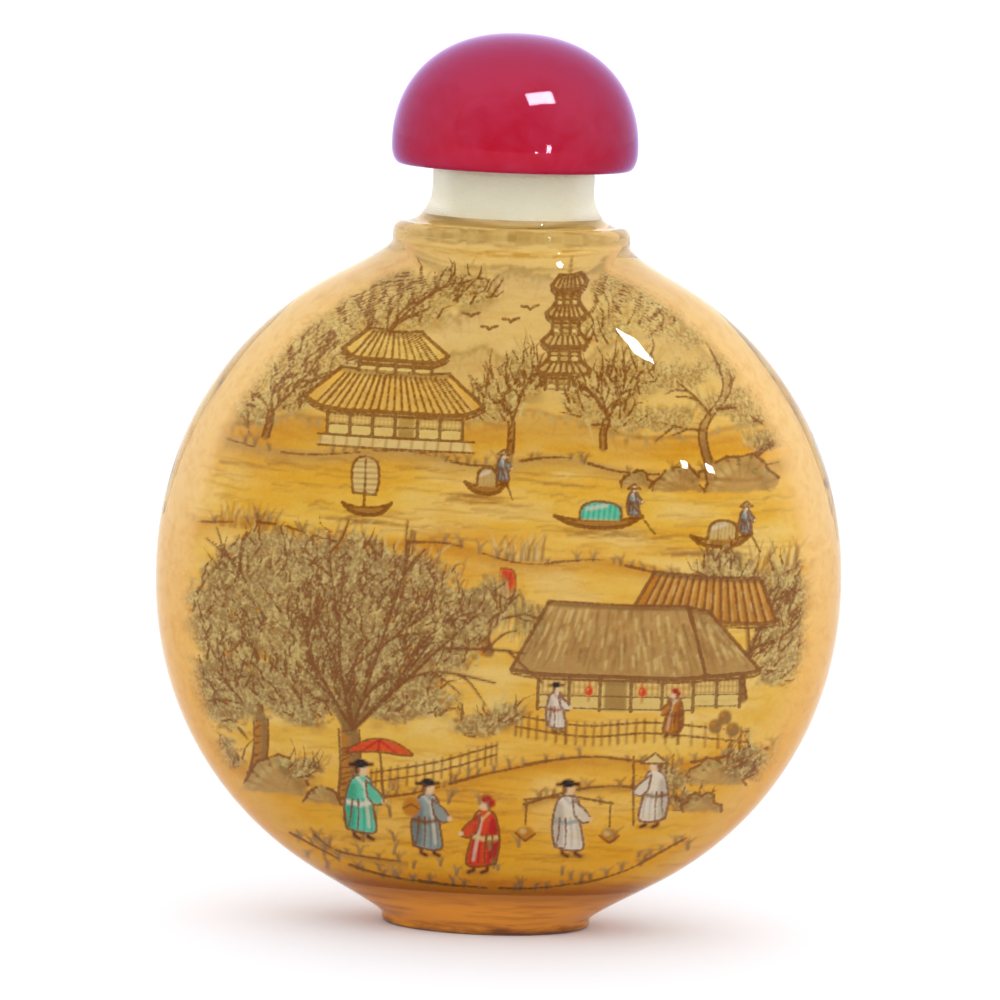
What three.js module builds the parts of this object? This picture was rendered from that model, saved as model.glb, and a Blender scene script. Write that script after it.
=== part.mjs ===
// A flattened round glass bottle with a soft collar, a flared neck, an oval foot ring and a domed stopper.
// Millimetres, +Z up. The broad faces look along Y. The origin is the middle of the foot's underside.
import * as THREE from "three";

// Body: a flat-sided disc, rounder in its outline than in its thickness
const bodyWidth = 61;
const bodyHeight = 61;
const bodyThickness = 26;
const bodyDrop = 0.6; // from the foot's underside up to the disc's lowest point
const outlineFullness = 2.06; // 2 is an ellipse, and more is squarer
const profileFullness = 2.4;
const sectionFullness = 2.3;

// Walls of the hollow
const faceWall = 2.6;
const rimWall = 3.4;
const floorWall = 1.3;
const shoulderWall = 3.4;

// Foot ring, with a shallow ground recess inside it
const footWidth = 18.6;
const footThickness = 12.8;
const footRingWidth = 1.8;
const footRecess = 0.7;
const footEdge = 0.4;
const footBlend = 6;

// Collar between the disc and the neck
const collarWidth = 21;
const collarThickness = 17;
const collarRise = 1.1; // from the disc's highest point up to the collar's top
const collarEdge = 0.9;
const collarWall = 3;
const collarBlend = 4.5;

// Neck and bore
const neckDiameter = 14.3;
const neckLength = 5; // from the collar's top up to the lip
const flareHeight = 3;
const lipEdge = 0.6;
const boreDiameter = 8;
const boreEdge = 0.3;
const boreLength = 5.4; // from the lip down to where the hollow widens
const throatHeight = 1.8; // over which the hollow widens below the bore
const throatBlend = 2.4;

// Stopper
const domeDiameter = 21.8;
const domeHeight = 11.8;
const domeWaist = 1.7; // from the underside up to the widest level
const domeTuck = 0.8; // how far the edge draws in below the widest level
const domeFullness = 2.2; // 2 is an ellipse, and more is squarer
const plugLength = 5.2;
const plugClearance = 0.15;
const plugTaper = 0.25;
const plugEdge = 0.4;

// Levels that follow from the sizes
const bodyMiddle = bodyDrop + bodyHeight / 2;
const collarTop = bodyDrop + bodyHeight + collarRise;
const lip = collarTop + neckLength;
const hollowFloor = bodyDrop + floorWall;
const hollowCrown = bodyDrop + bodyHeight - shoulderWall;
const hollowMiddle = (hollowFloor + hollowCrown) / 2;
const boreFoot = lip - boreLength;
const throatFoot = boreFoot - throatHeight;

// Facets
const facetsAround = 56;
const bodySteps = 30;
const hollowSteps = 22;
const flareSteps = 6;
const throatSteps = 4;
const edgeSteps = 2;
const domeFacetsAround = 44;
const domeSteps = 10;
const domeEdgeSteps = 4;
const plugFacetsAround = 32;
const ringGap = 0.2; // least step from one ring of facets to the next

const steps = (count) => Array.from({ length: count + 1 }, (_, i) => i / count);
const clamped = (t) => Math.min(1, Math.max(0, t));

// Half the size of a superellipse at level z, and 0 beyond its ends.
function halfAt(z, middle, halfHeight, halfSize, fullness) {
  const t = clamped(Math.abs(z - middle) / halfHeight);
  return halfSize * (1 - t ** fullness) ** (1 / fullness);
}

// The larger of two half sizes, with a soft fillet where they cross.
function blended(a, b, radius) {
  const h = Math.max(radius - Math.abs(a - b), 0) / radius;
  return Math.max(a, b) + (h * h * radius) / 4;
}

// Half the size of the collar and neck outside at level z, where the collar's wall is at collarHalf.
function stemHalf(z, collarHalf) {
  const neckHalf = neckDiameter / 2;
  const ledgeHalf = collarHalf - collarEdge;
  const edgeFoot = collarTop - collarEdge;
  if (z <= edgeFoot) return collarHalf;
  if (z <= collarTop) {
    const s = clamped((z - edgeFoot) / collarEdge);
    return ledgeHalf + collarEdge * Math.sqrt(1 - s * s);
  }
  const s = clamped((z - collarTop) / flareHeight);
  return neckHalf + (ledgeHalf - neckHalf) * (1 - Math.sqrt(1 - (1 - s) ** 2));
}

// Half the size of the outside at level z, given those of the disc, foot and collar along the same axis.
function outerHalf(z, bodyHalf, fullness, footHalf, collarHalf) {
  const body = halfAt(z, bodyMiddle, bodyHeight / 2, bodyHalf, fullness);
  return z < bodyMiddle
    ? blended(body, footHalf, footBlend)
    : blended(body, stemHalf(z, collarHalf), collarBlend);
}

function outerStation(z) {
  return {
    z,
    x: outerHalf(z, bodyWidth / 2, outlineFullness, footWidth / 2, collarWidth / 2),
    y: outerHalf(z, bodyThickness / 2, profileFullness, footThickness / 2, collarThickness / 2),
    power: sectionPower(z),
  };
}

// The disc's sections are squarer than an ellipse at its middle and true ellipses at its ends.
function sectionPower(z) {
  const t = clamped(Math.abs(z - bodyMiddle) / (bodyHeight / 2));
  return 2 + (sectionFullness - 2) * (1 - t * t);
}

// Half the size of the hollow at level z: the disc less its walls, and the throat that narrows to the bore.
function hollowHalf(z, bodyHalf, wall, fullness, collarHalf) {
  const boreHalf = boreDiameter / 2;
  const s = clamped((z - throatFoot) / throatHeight);
  const stem = boreHalf + (collarHalf - collarWall - boreHalf) * Math.sqrt(1 - s * s);
  const halfHeight = (hollowCrown - hollowFloor) / 2;
  const body = halfAt(z, hollowMiddle, halfHeight, bodyHalf - wall, fullness);
  return z < hollowMiddle ? body : blended(body, stem, throatBlend);
}

function hollowStation(z) {
  return {
    z,
    x: hollowHalf(z, bodyWidth / 2, rimWall, outlineFullness, collarWidth / 2),
    y: hollowHalf(z, bodyThickness / 2, faceWall, profileFullness, collarThickness / 2),
    power: sectionPower(z),
  };
}

// A closed surface through level rings, from one point on the axis to the other.
function loft(first, rings, last, around) {
  const positions = [0, 0, first];
  for (const { z, x, y, power } of rings) {
    for (let i = 0; i < around; i++) {
      const angle = (2 * Math.PI * i) / around;
      const c = Math.cos(angle);
      const s = Math.sin(angle);
      positions.push(
        x * Math.sign(c) * Math.abs(c) ** (2 / power),
        y * Math.sign(s) * Math.abs(s) ** (2 / power),
        z,
      );
    }
  }
  positions.push(0, 0, last);
  const end = positions.length / 3 - 1;
  const at = (ring, i) => 1 + ring * around + (i % around);
  const index = [];
  for (let i = 0; i < around; i++) {
    index.push(0, at(0, i + 1), at(0, i));
    for (let ring = 0; ring + 1 < rings.length; ring++) {
      index.push(at(ring, i), at(ring, i + 1), at(ring + 1, i));
      index.push(at(ring, i + 1), at(ring + 1, i + 1), at(ring + 1, i));
    }
    index.push(end, at(rings.length - 1, i), at(rings.length - 1, i + 1));
  }
  const geometry = new THREE.BufferGeometry();
  geometry.setAttribute("position", new THREE.Float32BufferAttribute(positions, 3));
  geometry.setIndex(index);
  geometry.computeVertexNormals();
  return geometry;
}

// A ring like the one given, drawn in by inset and moved to level z.
const inset = (ring, amount, z) => ({ ...ring, z, x: ring.x - amount, y: ring.y - amount });

function bottleGeometry() {
  const foot = outerStation(footEdge);
  const footRings = [
    inset(foot, footRingWidth + footRecess, footRecess),
    inset(foot, footRingWidth, 0),
    inset(foot, footEdge, 0),
  ];
  const bodyRings = steps(bodySteps)
    .map((t) => bodyMiddle - (bodyHeight / 2) * Math.cos(Math.PI * t))
    .filter((z) => z > footEdge + ringGap && z < collarTop - collarEdge - ringGap)
    .map(outerStation);
  const collarRings = steps(edgeSteps).map((t) =>
    outerStation(collarTop - collarEdge * (1 - Math.sin((Math.PI / 2) * t))),
  );
  const flareRings = steps(flareSteps)
    .slice(1)
    .map((t) => outerStation(collarTop + flareHeight * t * t));
  const neck = outerStation(lip);
  const bore = { z: lip, x: boreDiameter / 2, y: boreDiameter / 2, power: 2 };
  const lipRings = [
    ...steps(edgeSteps).map((t) => {
      const angle = (Math.PI / 2) * t;
      return inset(neck, lipEdge * (1 - Math.cos(angle)), lip - lipEdge * (1 - Math.sin(angle)));
    }),
    inset(bore, -boreEdge, lip),
    { ...bore, z: lip - boreEdge },
  ];
  const boreRings = steps(edgeSteps)
    .slice(1)
    .map((t) => ({ ...bore, z: lip - boreEdge - (boreLength - boreEdge) * t }));
  const throatRings = steps(throatSteps)
    .slice(1)
    .map((t) => hollowStation(boreFoot - throatHeight * t * t));
  const hollowRings = steps(hollowSteps)
    .map((t) => hollowMiddle + ((hollowCrown - hollowFloor) / 2) * Math.cos(Math.PI * t))
    .filter((z) => z < throatFoot - ringGap && z > hollowFloor + ringGap)
    .map(hollowStation);
  return loft(
    footRecess,
    [
      ...footRings,
      foot,
      ...bodyRings,
      ...collarRings,
      ...flareRings,
      ...lipRings,
      ...boreRings,
      ...throatRings,
      ...hollowRings,
    ],
    hollowFloor,
    facetsAround,
  );
}

// A turned solid about the Z axis, from radius and height pairs that start and end on the axis, lowest first.
function turned(profile, around) {
  const points = profile.map(([radius, z]) => new THREE.Vector2(radius, z));
  return new THREE.LatheGeometry(points, around).rotateX(Math.PI / 2);
}

function domeGeometry() {
  const radius = domeDiameter / 2;
  const quarter = Math.PI / 2;
  const edge = steps(domeEdgeSteps).map((t) => [
    radius - domeTuck * (1 - Math.sin(quarter * t)),
    domeWaist * (1 - Math.cos(quarter * t)),
  ]);
  const power = 2 / domeFullness;
  const crown = steps(domeSteps)
    .slice(1)
    .map((t) => [
      t < 1 ? radius * Math.cos(quarter * t) ** power : 0,
      domeWaist + (domeHeight - domeWaist) * Math.sin(quarter * t) ** power,
    ]);
  return turned([[0, 0], ...edge, ...crown], domeFacetsAround);
}

function plugGeometry() {
  const top = boreDiameter / 2 - plugClearance;
  const foot = top - plugTaper;
  return turned(
    [
      [0, -plugLength],
      [foot - plugEdge, -plugLength],
      [foot, plugEdge - plugLength],
      [top, 0],
      [0, 0],
    ],
    plugFacetsAround,
  );
}

function piece(name, geometry, material, level) {
  const mesh = new THREE.Mesh(geometry, new THREE.MeshStandardMaterial(material));
  mesh.name = name;
  mesh.position.z = level;
  return mesh;
}

const amberPaintedGlass = { color: 0xd9963c, roughness: 0.05, metalness: 0 };
const rubyGlass = { color: 0xb0163f, roughness: 0.05, metalness: 0 };
const palePlastic = { color: 0xe6e2cf, roughness: 0.5, metalness: 0 };

const bottle = new THREE.Group();
bottle.add(piece("bottle", bottleGeometry(), amberPaintedGlass, 0));

const stopper = new THREE.Group();
stopper.position.z = lip;
stopper.add(piece("stopper_dome", domeGeometry(), rubyGlass, 0));
stopper.add(piece("stopper_plug", plugGeometry(), palePlastic, 0));
bottle.add(stopper);

export default bottle;
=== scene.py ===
"""A small flattened glass bottle, painted on the inside of its wall, with a ruby glass stopper.

Metres, +Z up, with the broad painted faces towards -Y, the front, and +Y. The bottle stands on its foot ring.
The painter's own sizes, the strokes of the two pictures, are in millimetres on the wall.
"""

import math
import random

import bpy
import numpy as np
from mathutils import Matrix, Vector


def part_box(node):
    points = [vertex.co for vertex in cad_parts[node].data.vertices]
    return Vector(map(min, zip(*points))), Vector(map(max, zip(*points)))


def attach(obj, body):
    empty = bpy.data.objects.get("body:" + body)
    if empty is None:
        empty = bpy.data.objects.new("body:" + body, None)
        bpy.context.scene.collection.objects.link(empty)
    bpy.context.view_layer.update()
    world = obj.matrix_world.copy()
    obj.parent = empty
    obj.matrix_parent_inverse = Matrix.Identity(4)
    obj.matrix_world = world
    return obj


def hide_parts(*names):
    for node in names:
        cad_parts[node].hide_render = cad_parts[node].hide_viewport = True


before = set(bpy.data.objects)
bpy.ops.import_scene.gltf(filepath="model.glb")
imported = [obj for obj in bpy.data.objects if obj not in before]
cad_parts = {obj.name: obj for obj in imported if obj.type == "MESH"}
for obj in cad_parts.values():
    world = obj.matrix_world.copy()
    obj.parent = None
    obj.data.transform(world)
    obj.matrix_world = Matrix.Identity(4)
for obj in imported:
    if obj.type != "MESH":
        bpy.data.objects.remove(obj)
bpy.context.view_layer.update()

MM = 0.001

# Sizes that the frame gives
bottle_low, bottle_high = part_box("bottle")
dome_low, dome_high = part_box("stopper_dome")
plug_low, plug_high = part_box("stopper_plug")
BODY_WIDTH = bottle_high.x - bottle_low.x
BODY_THICKNESS = bottle_high.y - bottle_low.y
LIP = bottle_high.z
DOME_DIAMETER = dome_high.x - dome_low.x
DOME_HEIGHT = dome_high.z - dome_low.z
PLUG_LENGTH = plug_high.z - plug_low.z

# Body
BODY_DROP = 0.6 * MM
OUTLINE_FULLNESS = 2.06
PROFILE_FULLNESS = 2.4
SECTION_FULLNESS = 2.3
FACE_WALL = 2.6 * MM
RIM_WALL = 3.4 * MM
FLOOR_WALL = 1.3 * MM
SHOULDER_WALL = 3.4 * MM

# Foot ring
FOOT_WIDTH = 18.6 * MM
FOOT_THICKNESS = 12.8 * MM
FOOT_RING_WIDTH = 1.8 * MM
FOOT_RECESS = 0.7 * MM
FOOT_EDGE = 0.4 * MM
FOOT_BLEND = 6 * MM

# Collar, neck and bore
COLLAR_WIDTH = 21 * MM
COLLAR_THICKNESS = 17 * MM
COLLAR_RISE = 1.1 * MM
COLLAR_EDGE = 0.9 * MM
COLLAR_WALL = 3 * MM
COLLAR_BLEND = 4.5 * MM
NECK_DIAMETER = 14.3 * MM
NECK_LENGTH = 5 * MM
FLARE_HEIGHT = 3 * MM
LIP_EDGE = 0.6 * MM
BORE_DIAMETER = 8 * MM
BORE_EDGE = 0.3 * MM
BORE_LENGTH = 5.4 * MM
THROAT_HEIGHT = 1.8 * MM
THROAT_BLEND = 2.4 * MM

# Stopper
DOME_WAIST = 1.7 * MM
DOME_TUCK = 0.8 * MM
DOME_FULLNESS = 2.2
PLUG_CLEARANCE = 0.15 * MM
PLUG_TAPER = 0.25 * MM
PLUG_EDGE = 0.4 * MM

# Levels that follow from the sizes
COLLAR_TOP = LIP - NECK_LENGTH
BODY_TOP = COLLAR_TOP - COLLAR_RISE
BODY_MIDDLE = (BODY_TOP + BODY_DROP) / 2
BODY_HALF = (BODY_TOP - BODY_DROP) / 2
HOLLOW_FLOOR = BODY_DROP + FLOOR_WALL
HOLLOW_CROWN = BODY_TOP - SHOULDER_WALL
HOLLOW_MIDDLE = (HOLLOW_FLOOR + HOLLOW_CROWN) / 2
HOLLOW_HALF = (HOLLOW_CROWN - HOLLOW_FLOOR) / 2
BORE_FOOT = LIP - BORE_LENGTH
THROAT_FOOT = BORE_FOOT - THROAT_HEIGHT

# Places in the glass piece's list of finishes, after the clear glass
# The foot's outside, up to the stain's top level, takes an orange stain that is also a painted reflection of
# the paint, with painted shade and a painted contact shadow
GROUND_GLASS, FOOT_STAIN_AND_PAINTED_REFLECTION = 1, 2
STAIN_AND_REFLECTION_TOP = 3.9 * MM
FROST_FOOT = COLLAR_TOP + 0.7 * MM
FACES_UP = 0.5  # a normal's rise above which a low face belongs to the hollow's floor

# Facets
BOTTLE_FACETS, DOME_FACETS, PLUG_FACETS = 208, 128, 72
BODY_RINGS, FLARE_RINGS, THROAT_RINGS, HOLLOW_RINGS = 122, 13, 9, 100
FOOT_EDGE_RINGS, COLLAR_EDGE_RINGS, LIP_EDGE_RINGS, BORE_EDGE_RINGS = 5, 7, 6, 4
DOME_EDGE_RINGS, DOME_RINGS = 9, 41
PLUG_EDGE_RINGS, PLUG_RINGS = 6, 12
FRONT_RINGS, FRONT_COLUMNS = 414, 462
BACK_RINGS, BACK_COLUMNS = 296, 328
CLOSE_LEVELS = 6  # levels added above the film's lowest point

# Paint film on the wall of the hollow
PAINT_LIFT = 0.12 * MM  # how far the film lies in the wall, so that no air comes between it and the glass
PAINT_TOP = LIP - 0.6 * MM
SOFT_EDGE = 0.22  # mm over which a brush mark's edge fades
INK_REACH = 0.3  # mm from an ink line's edge at which its stored depth is 1
INK_SPREAD = 0.02  # mm that ink spreads at each side
INK_CRISPNESS = 3
OPAQUE = 0.9  # a mark stronger than this covers what lies below it
BROAD_STROKE = 0.5  # mm, and a wider stroke can cover what lies below it
LATTICE = 64  # random values along each side of the mottling's lattice

# Sides of the film, where the two pictures fade into the ground
SIDE_START, SIDE_END = 0.95, 0.995  # shares of the half width
SIDE_ORANGE, SIDE_PEACH, SIDE_TOP = 8, 38, 62  # levels, in mm

# Light
ROOM_LIGHT = 1.5
PAINT_LIGHT = 1.07  # what of it reaches the paint behind the glass
GLOSS_VEIL = 0.03  # what the glass before the paint adds by its reflection
LIGHT_OUT = 0.384  # share of the paint's light that leaves the glass
LIGHT_BACK = 0.6  # share that the glass sends back to the paint
DARKEST_SEEN = 0.004
PALEST_PIGMENT = 0.95
LIGHT_DISTANCE = 1.1  # metres from the body's middle to the windows
WINDOW_LIGHT = 90  # how bright a window is, on the scale of ROOM_LIGHT

# Photograph
IMAGE_SIDE = 1000
PIXEL = 0.0889 * MM  # at the middle of the body
BODY_CENTRE_PIXEL = (498.5, 578)
CAMERA_ELEVATION = math.radians(6.5)
CAMERA_ROLL = math.radians(2.2)
CAMERA_DISTANCE = 0.55  # metres
SENSOR = 36  # mm


# Walls of the bottle


def clamped(t):
    return min(1, max(0, t))


def half_at(z, middle, half_height, half_size, fullness):
    """Half the size of a superellipse at level z, and 0 beyond its ends."""
    t = clamped(abs(z - middle) / half_height)
    return half_size * (1 - t**fullness) ** (1 / fullness)


def blended(a, b, radius):
    """The larger of two half sizes, with a soft fillet where they cross."""
    h = max(radius - abs(a - b), 0) / radius
    return max(a, b) + h * h * radius / 4


def section_power(z):
    t = clamped(abs(z - BODY_MIDDLE) / BODY_HALF)
    return 2 + (SECTION_FULLNESS - 2) * (1 - t * t)


def stem_half(z, collar_half):
    """Half the size of the collar and neck outside at level z, where the collar's wall is at collar_half."""
    neck_half = NECK_DIAMETER / 2
    ledge_half = collar_half - COLLAR_EDGE
    edge_foot = COLLAR_TOP - COLLAR_EDGE
    if z <= edge_foot:
        return collar_half
    if z <= COLLAR_TOP:
        s = clamped((z - edge_foot) / COLLAR_EDGE)
        return ledge_half + COLLAR_EDGE * math.sqrt(1 - s * s)
    s = clamped((z - COLLAR_TOP) / FLARE_HEIGHT)
    return neck_half + (ledge_half - neck_half) * (1 - math.sqrt(1 - (1 - s) ** 2))


def outer_half(z, body_half, fullness, foot_half, collar_half):
    body = half_at(z, BODY_MIDDLE, BODY_HALF, body_half, fullness)
    if z < BODY_MIDDLE:
        return blended(body, foot_half, FOOT_BLEND)
    return blended(body, stem_half(z, collar_half), COLLAR_BLEND)


def outer_station(z):
    """Half width, half thickness and power of the outside's section at level z."""
    x = outer_half(z, BODY_WIDTH / 2, OUTLINE_FULLNESS, FOOT_WIDTH / 2, COLLAR_WIDTH / 2)
    y = outer_half(z, BODY_THICKNESS / 2, PROFILE_FULLNESS, FOOT_THICKNESS / 2, COLLAR_THICKNESS / 2)
    return x, y, section_power(z)


def hollow_half(z, body_half, wall, fullness, collar_half):
    bore_half = BORE_DIAMETER / 2
    s = clamped((z - THROAT_FOOT) / THROAT_HEIGHT)
    stem = bore_half + (collar_half - COLLAR_WALL - bore_half) * math.sqrt(1 - s * s)
    body = half_at(z, HOLLOW_MIDDLE, HOLLOW_HALF, body_half - wall, fullness)
    return body if z < HOLLOW_MIDDLE else blended(body, stem, THROAT_BLEND)


def hollow_station(z):
    """Half width, half thickness and power of the hollow's section at level z."""
    x = hollow_half(z, BODY_WIDTH / 2, RIM_WALL, OUTLINE_FULLNESS, COLLAR_WIDTH / 2)
    y = hollow_half(z, BODY_THICKNESS / 2, FACE_WALL, PROFILE_FULLNESS, COLLAR_THICKNESS / 2)
    return x, y, section_power(z)


# Meshes


def spread(count):
    """Shares from 0 to 1, closer together at both ends."""
    return (1 - np.cos(np.pi * np.linspace(0, 1, count))) / 2


def quarter(count):
    """Angles from 0 to a right angle."""
    return np.linspace(0, math.pi / 2, count)


def rounding(count):
    """Steps round a quarter circle of radius 1: how far each is from its side, and from its foot."""
    return [(1 - math.sin(angle), 1 - math.cos(angle)) for angle in quarter(count)]


def ring(station, z, around, inset=0):
    x, y, power = station
    angle = np.linspace(0, 2 * math.pi, around, endpoint=False)
    c, s = np.cos(angle), np.sin(angle)
    return np.stack(
        [
            (x - inset) * np.sign(c) * np.abs(c) ** (2 / power),
            (y - inset) * np.sign(s) * np.abs(s) ** (2 / power),
            np.full(around, z),
        ],
        axis=1,
    )


def mesh_object(name, points, faces):
    mesh = bpy.data.meshes.new(name)
    mesh.from_pydata(points, [], faces)
    mesh.shade_smooth()
    obj = bpy.data.objects.new(name, mesh)
    bpy.context.scene.collection.objects.link(obj)
    return obj


def lofted(name, first, rings, last):
    """A closed mesh through level rings, from one point on the axis to another."""
    around = len(rings[0])
    points = np.concatenate([[[0, 0, first]], *rings, [[0, 0, last]]])
    here = np.arange(around)
    following = (here + 1) % around
    start = 1 + around * np.arange(len(rings) - 1)[:, None]
    quads = np.stack(
        [start + here, start + following, start + around + following, start + around + here], axis=-1
    )
    end = len(points) - 1
    top = end - around
    faces = quads.reshape(-1, 4).tolist()
    faces += [(0, 1 + b, 1 + a) for a, b in zip(here.tolist(), following.tolist())]
    faces += [(end, top + a, top + b) for a, b in zip(here.tolist(), following.tolist())]
    return mesh_object(name, points.tolist(), faces)


def make_bottle():
    """The clear glass: the outside, lip and bore and the wall of the hollow, as one closed surface."""
    foot = outer_station(FOOT_EDGE)
    neck = outer_station(LIP)
    bore = (BORE_DIAMETER / 2, BORE_DIAMETER / 2, 2)
    edge_foot = COLLAR_TOP - COLLAR_EDGE
    rings = []

    def add(station, z, inset=0):
        rings.append(ring(station, z, BOTTLE_FACETS, inset))

    for level in (FOOT_RECESS, FOOT_RECESS / 4, 0):
        add(foot, level, FOOT_RING_WIDTH + level)
    for across, up in rounding(FOOT_EDGE_RINGS):
        add(foot, FOOT_EDGE * up, FOOT_EDGE * across)
    outside = [FOOT_EDGE + (edge_foot - FOOT_EDGE) * t for t in spread(BODY_RINGS)[1:-1]]
    outside += [edge_foot + COLLAR_EDGE * math.sin(angle) for angle in quarter(COLLAR_EDGE_RINGS)]
    outside += [COLLAR_TOP + FLARE_HEIGHT * t * t for t in np.linspace(0, 1, FLARE_RINGS)[1:]]
    for z in outside:
        add(outer_station(z), z)
    for down, across in rounding(LIP_EDGE_RINGS):
        add(neck, LIP - LIP_EDGE * down, LIP_EDGE * across)
    for across, down in rounding(BORE_EDGE_RINGS):
        add(bore, LIP - BORE_EDGE * down, -BORE_EDGE * across)
    add(bore, BORE_FOOT)
    inner = [BORE_FOOT - THROAT_HEIGHT * t * t for t in np.linspace(0, 1, THROAT_RINGS)[1:]]
    hollow = [HOLLOW_CROWN - (HOLLOW_CROWN - HOLLOW_FLOOR) * t for t in spread(HOLLOW_RINGS)[1:-1]]
    for z in inner + [z for z in hollow if z < THROAT_FOOT]:
        add(hollow_station(z), z)
    bottle = lofted("glass_body", FOOT_RECESS, rings, HOLLOW_FLOOR)
    for face in bottle.data.polygons:
        across, level = face.center.xy.length, face.center.z
        in_bore = level > THROAT_FOOT and across < BORE_DIAMETER / 2 + PAINT_LIFT
        if in_bore or level > FROST_FOOT:
            face.material_index = GROUND_GLASS
        elif level < STAIN_AND_REFLECTION_TOP and face.normal.z < FACES_UP:
            face.material_index = FOOT_STAIN_AND_PAINTED_REFLECTION
    return bottle


def turned(name, profile, around):
    """A closed mesh turned about the Z axis, from radius and height pairs that start and end on the axis."""
    rings = [ring((radius, radius, 2), z, around) for radius, z in profile[1:-1]]
    return lofted(name, profile[0][1], rings, profile[-1][1])


def make_dome():
    radius = DOME_DIAMETER / 2
    profile = [(0, LIP), (radius / 2, LIP)]
    for across, up in rounding(DOME_EDGE_RINGS):
        profile.append((radius - DOME_TUCK * across, LIP + DOME_WAIST * up))
    power = 2 / DOME_FULLNESS
    for angle in quarter(DOME_RINGS)[1:-1]:
        rise = (DOME_HEIGHT - DOME_WAIST) * math.sin(angle) ** power
        profile.append((radius * math.cos(angle) ** power, LIP + DOME_WAIST + rise))
    profile.append((0, LIP + DOME_HEIGHT))
    return turned("ruby_dome", profile, DOME_FACETS)


def make_plug():
    top = BORE_DIAMETER / 2 - PLUG_CLEARANCE
    foot = top - PLUG_TAPER
    low = LIP - PLUG_LENGTH
    profile = [(0, low)]
    for across, up in rounding(PLUG_EDGE_RINGS):
        profile.append((foot - PLUG_EDGE * across, low + PLUG_EDGE * up))
    for t in np.linspace(0, 1, PLUG_RINGS)[1:]:
        profile.append((foot + (top - foot) * t, low + PLUG_EDGE + (PLUG_LENGTH - PLUG_EDGE) * t))
    profile += [(top / 2, LIP), (0, LIP)]
    return turned("cream_plug", profile, PLUG_FACETS)


def section_shares(count):
    """Shares of the half width from rim to rim, evenly spaced along the wall of the widest section."""
    x, y, power = hollow_station(HOLLOW_MIDDLE)
    angle = np.linspace(0, math.pi, 4001)
    c = np.cos(angle)
    share = -np.sign(c) * np.abs(c) ** (2 / power)
    depth = y * np.sin(angle) ** (2 / power)
    length = np.concatenate([[0], np.cumsum(np.hypot(np.diff(share * x), np.diff(depth)))])
    return np.interp(np.linspace(0, length[-1], count), length, share)


def painted_levels(count):
    """Levels from the hollow's floor up to the paint's edge, evenly spaced after a few close ones."""
    levels = np.linspace(HOLLOW_FLOOR, PAINT_TOP, count)
    shares = np.arange(1, CLOSE_LEVELS + 1) / (CLOSE_LEVELS + 1)
    close = HOLLOW_FLOOR + (levels[1] - HOLLOW_FLOOR) * shares**2
    return np.concatenate([close, levels[1:]])


# The painter's brush


def ramp(value, start, end, most=1):
    """0 where value is start, rising to 1 where it is end, but never above most."""
    return np.clip((value - start) / (end - start), 0, most)


WHOLE = slice(None)  # all rows of a face


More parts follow.
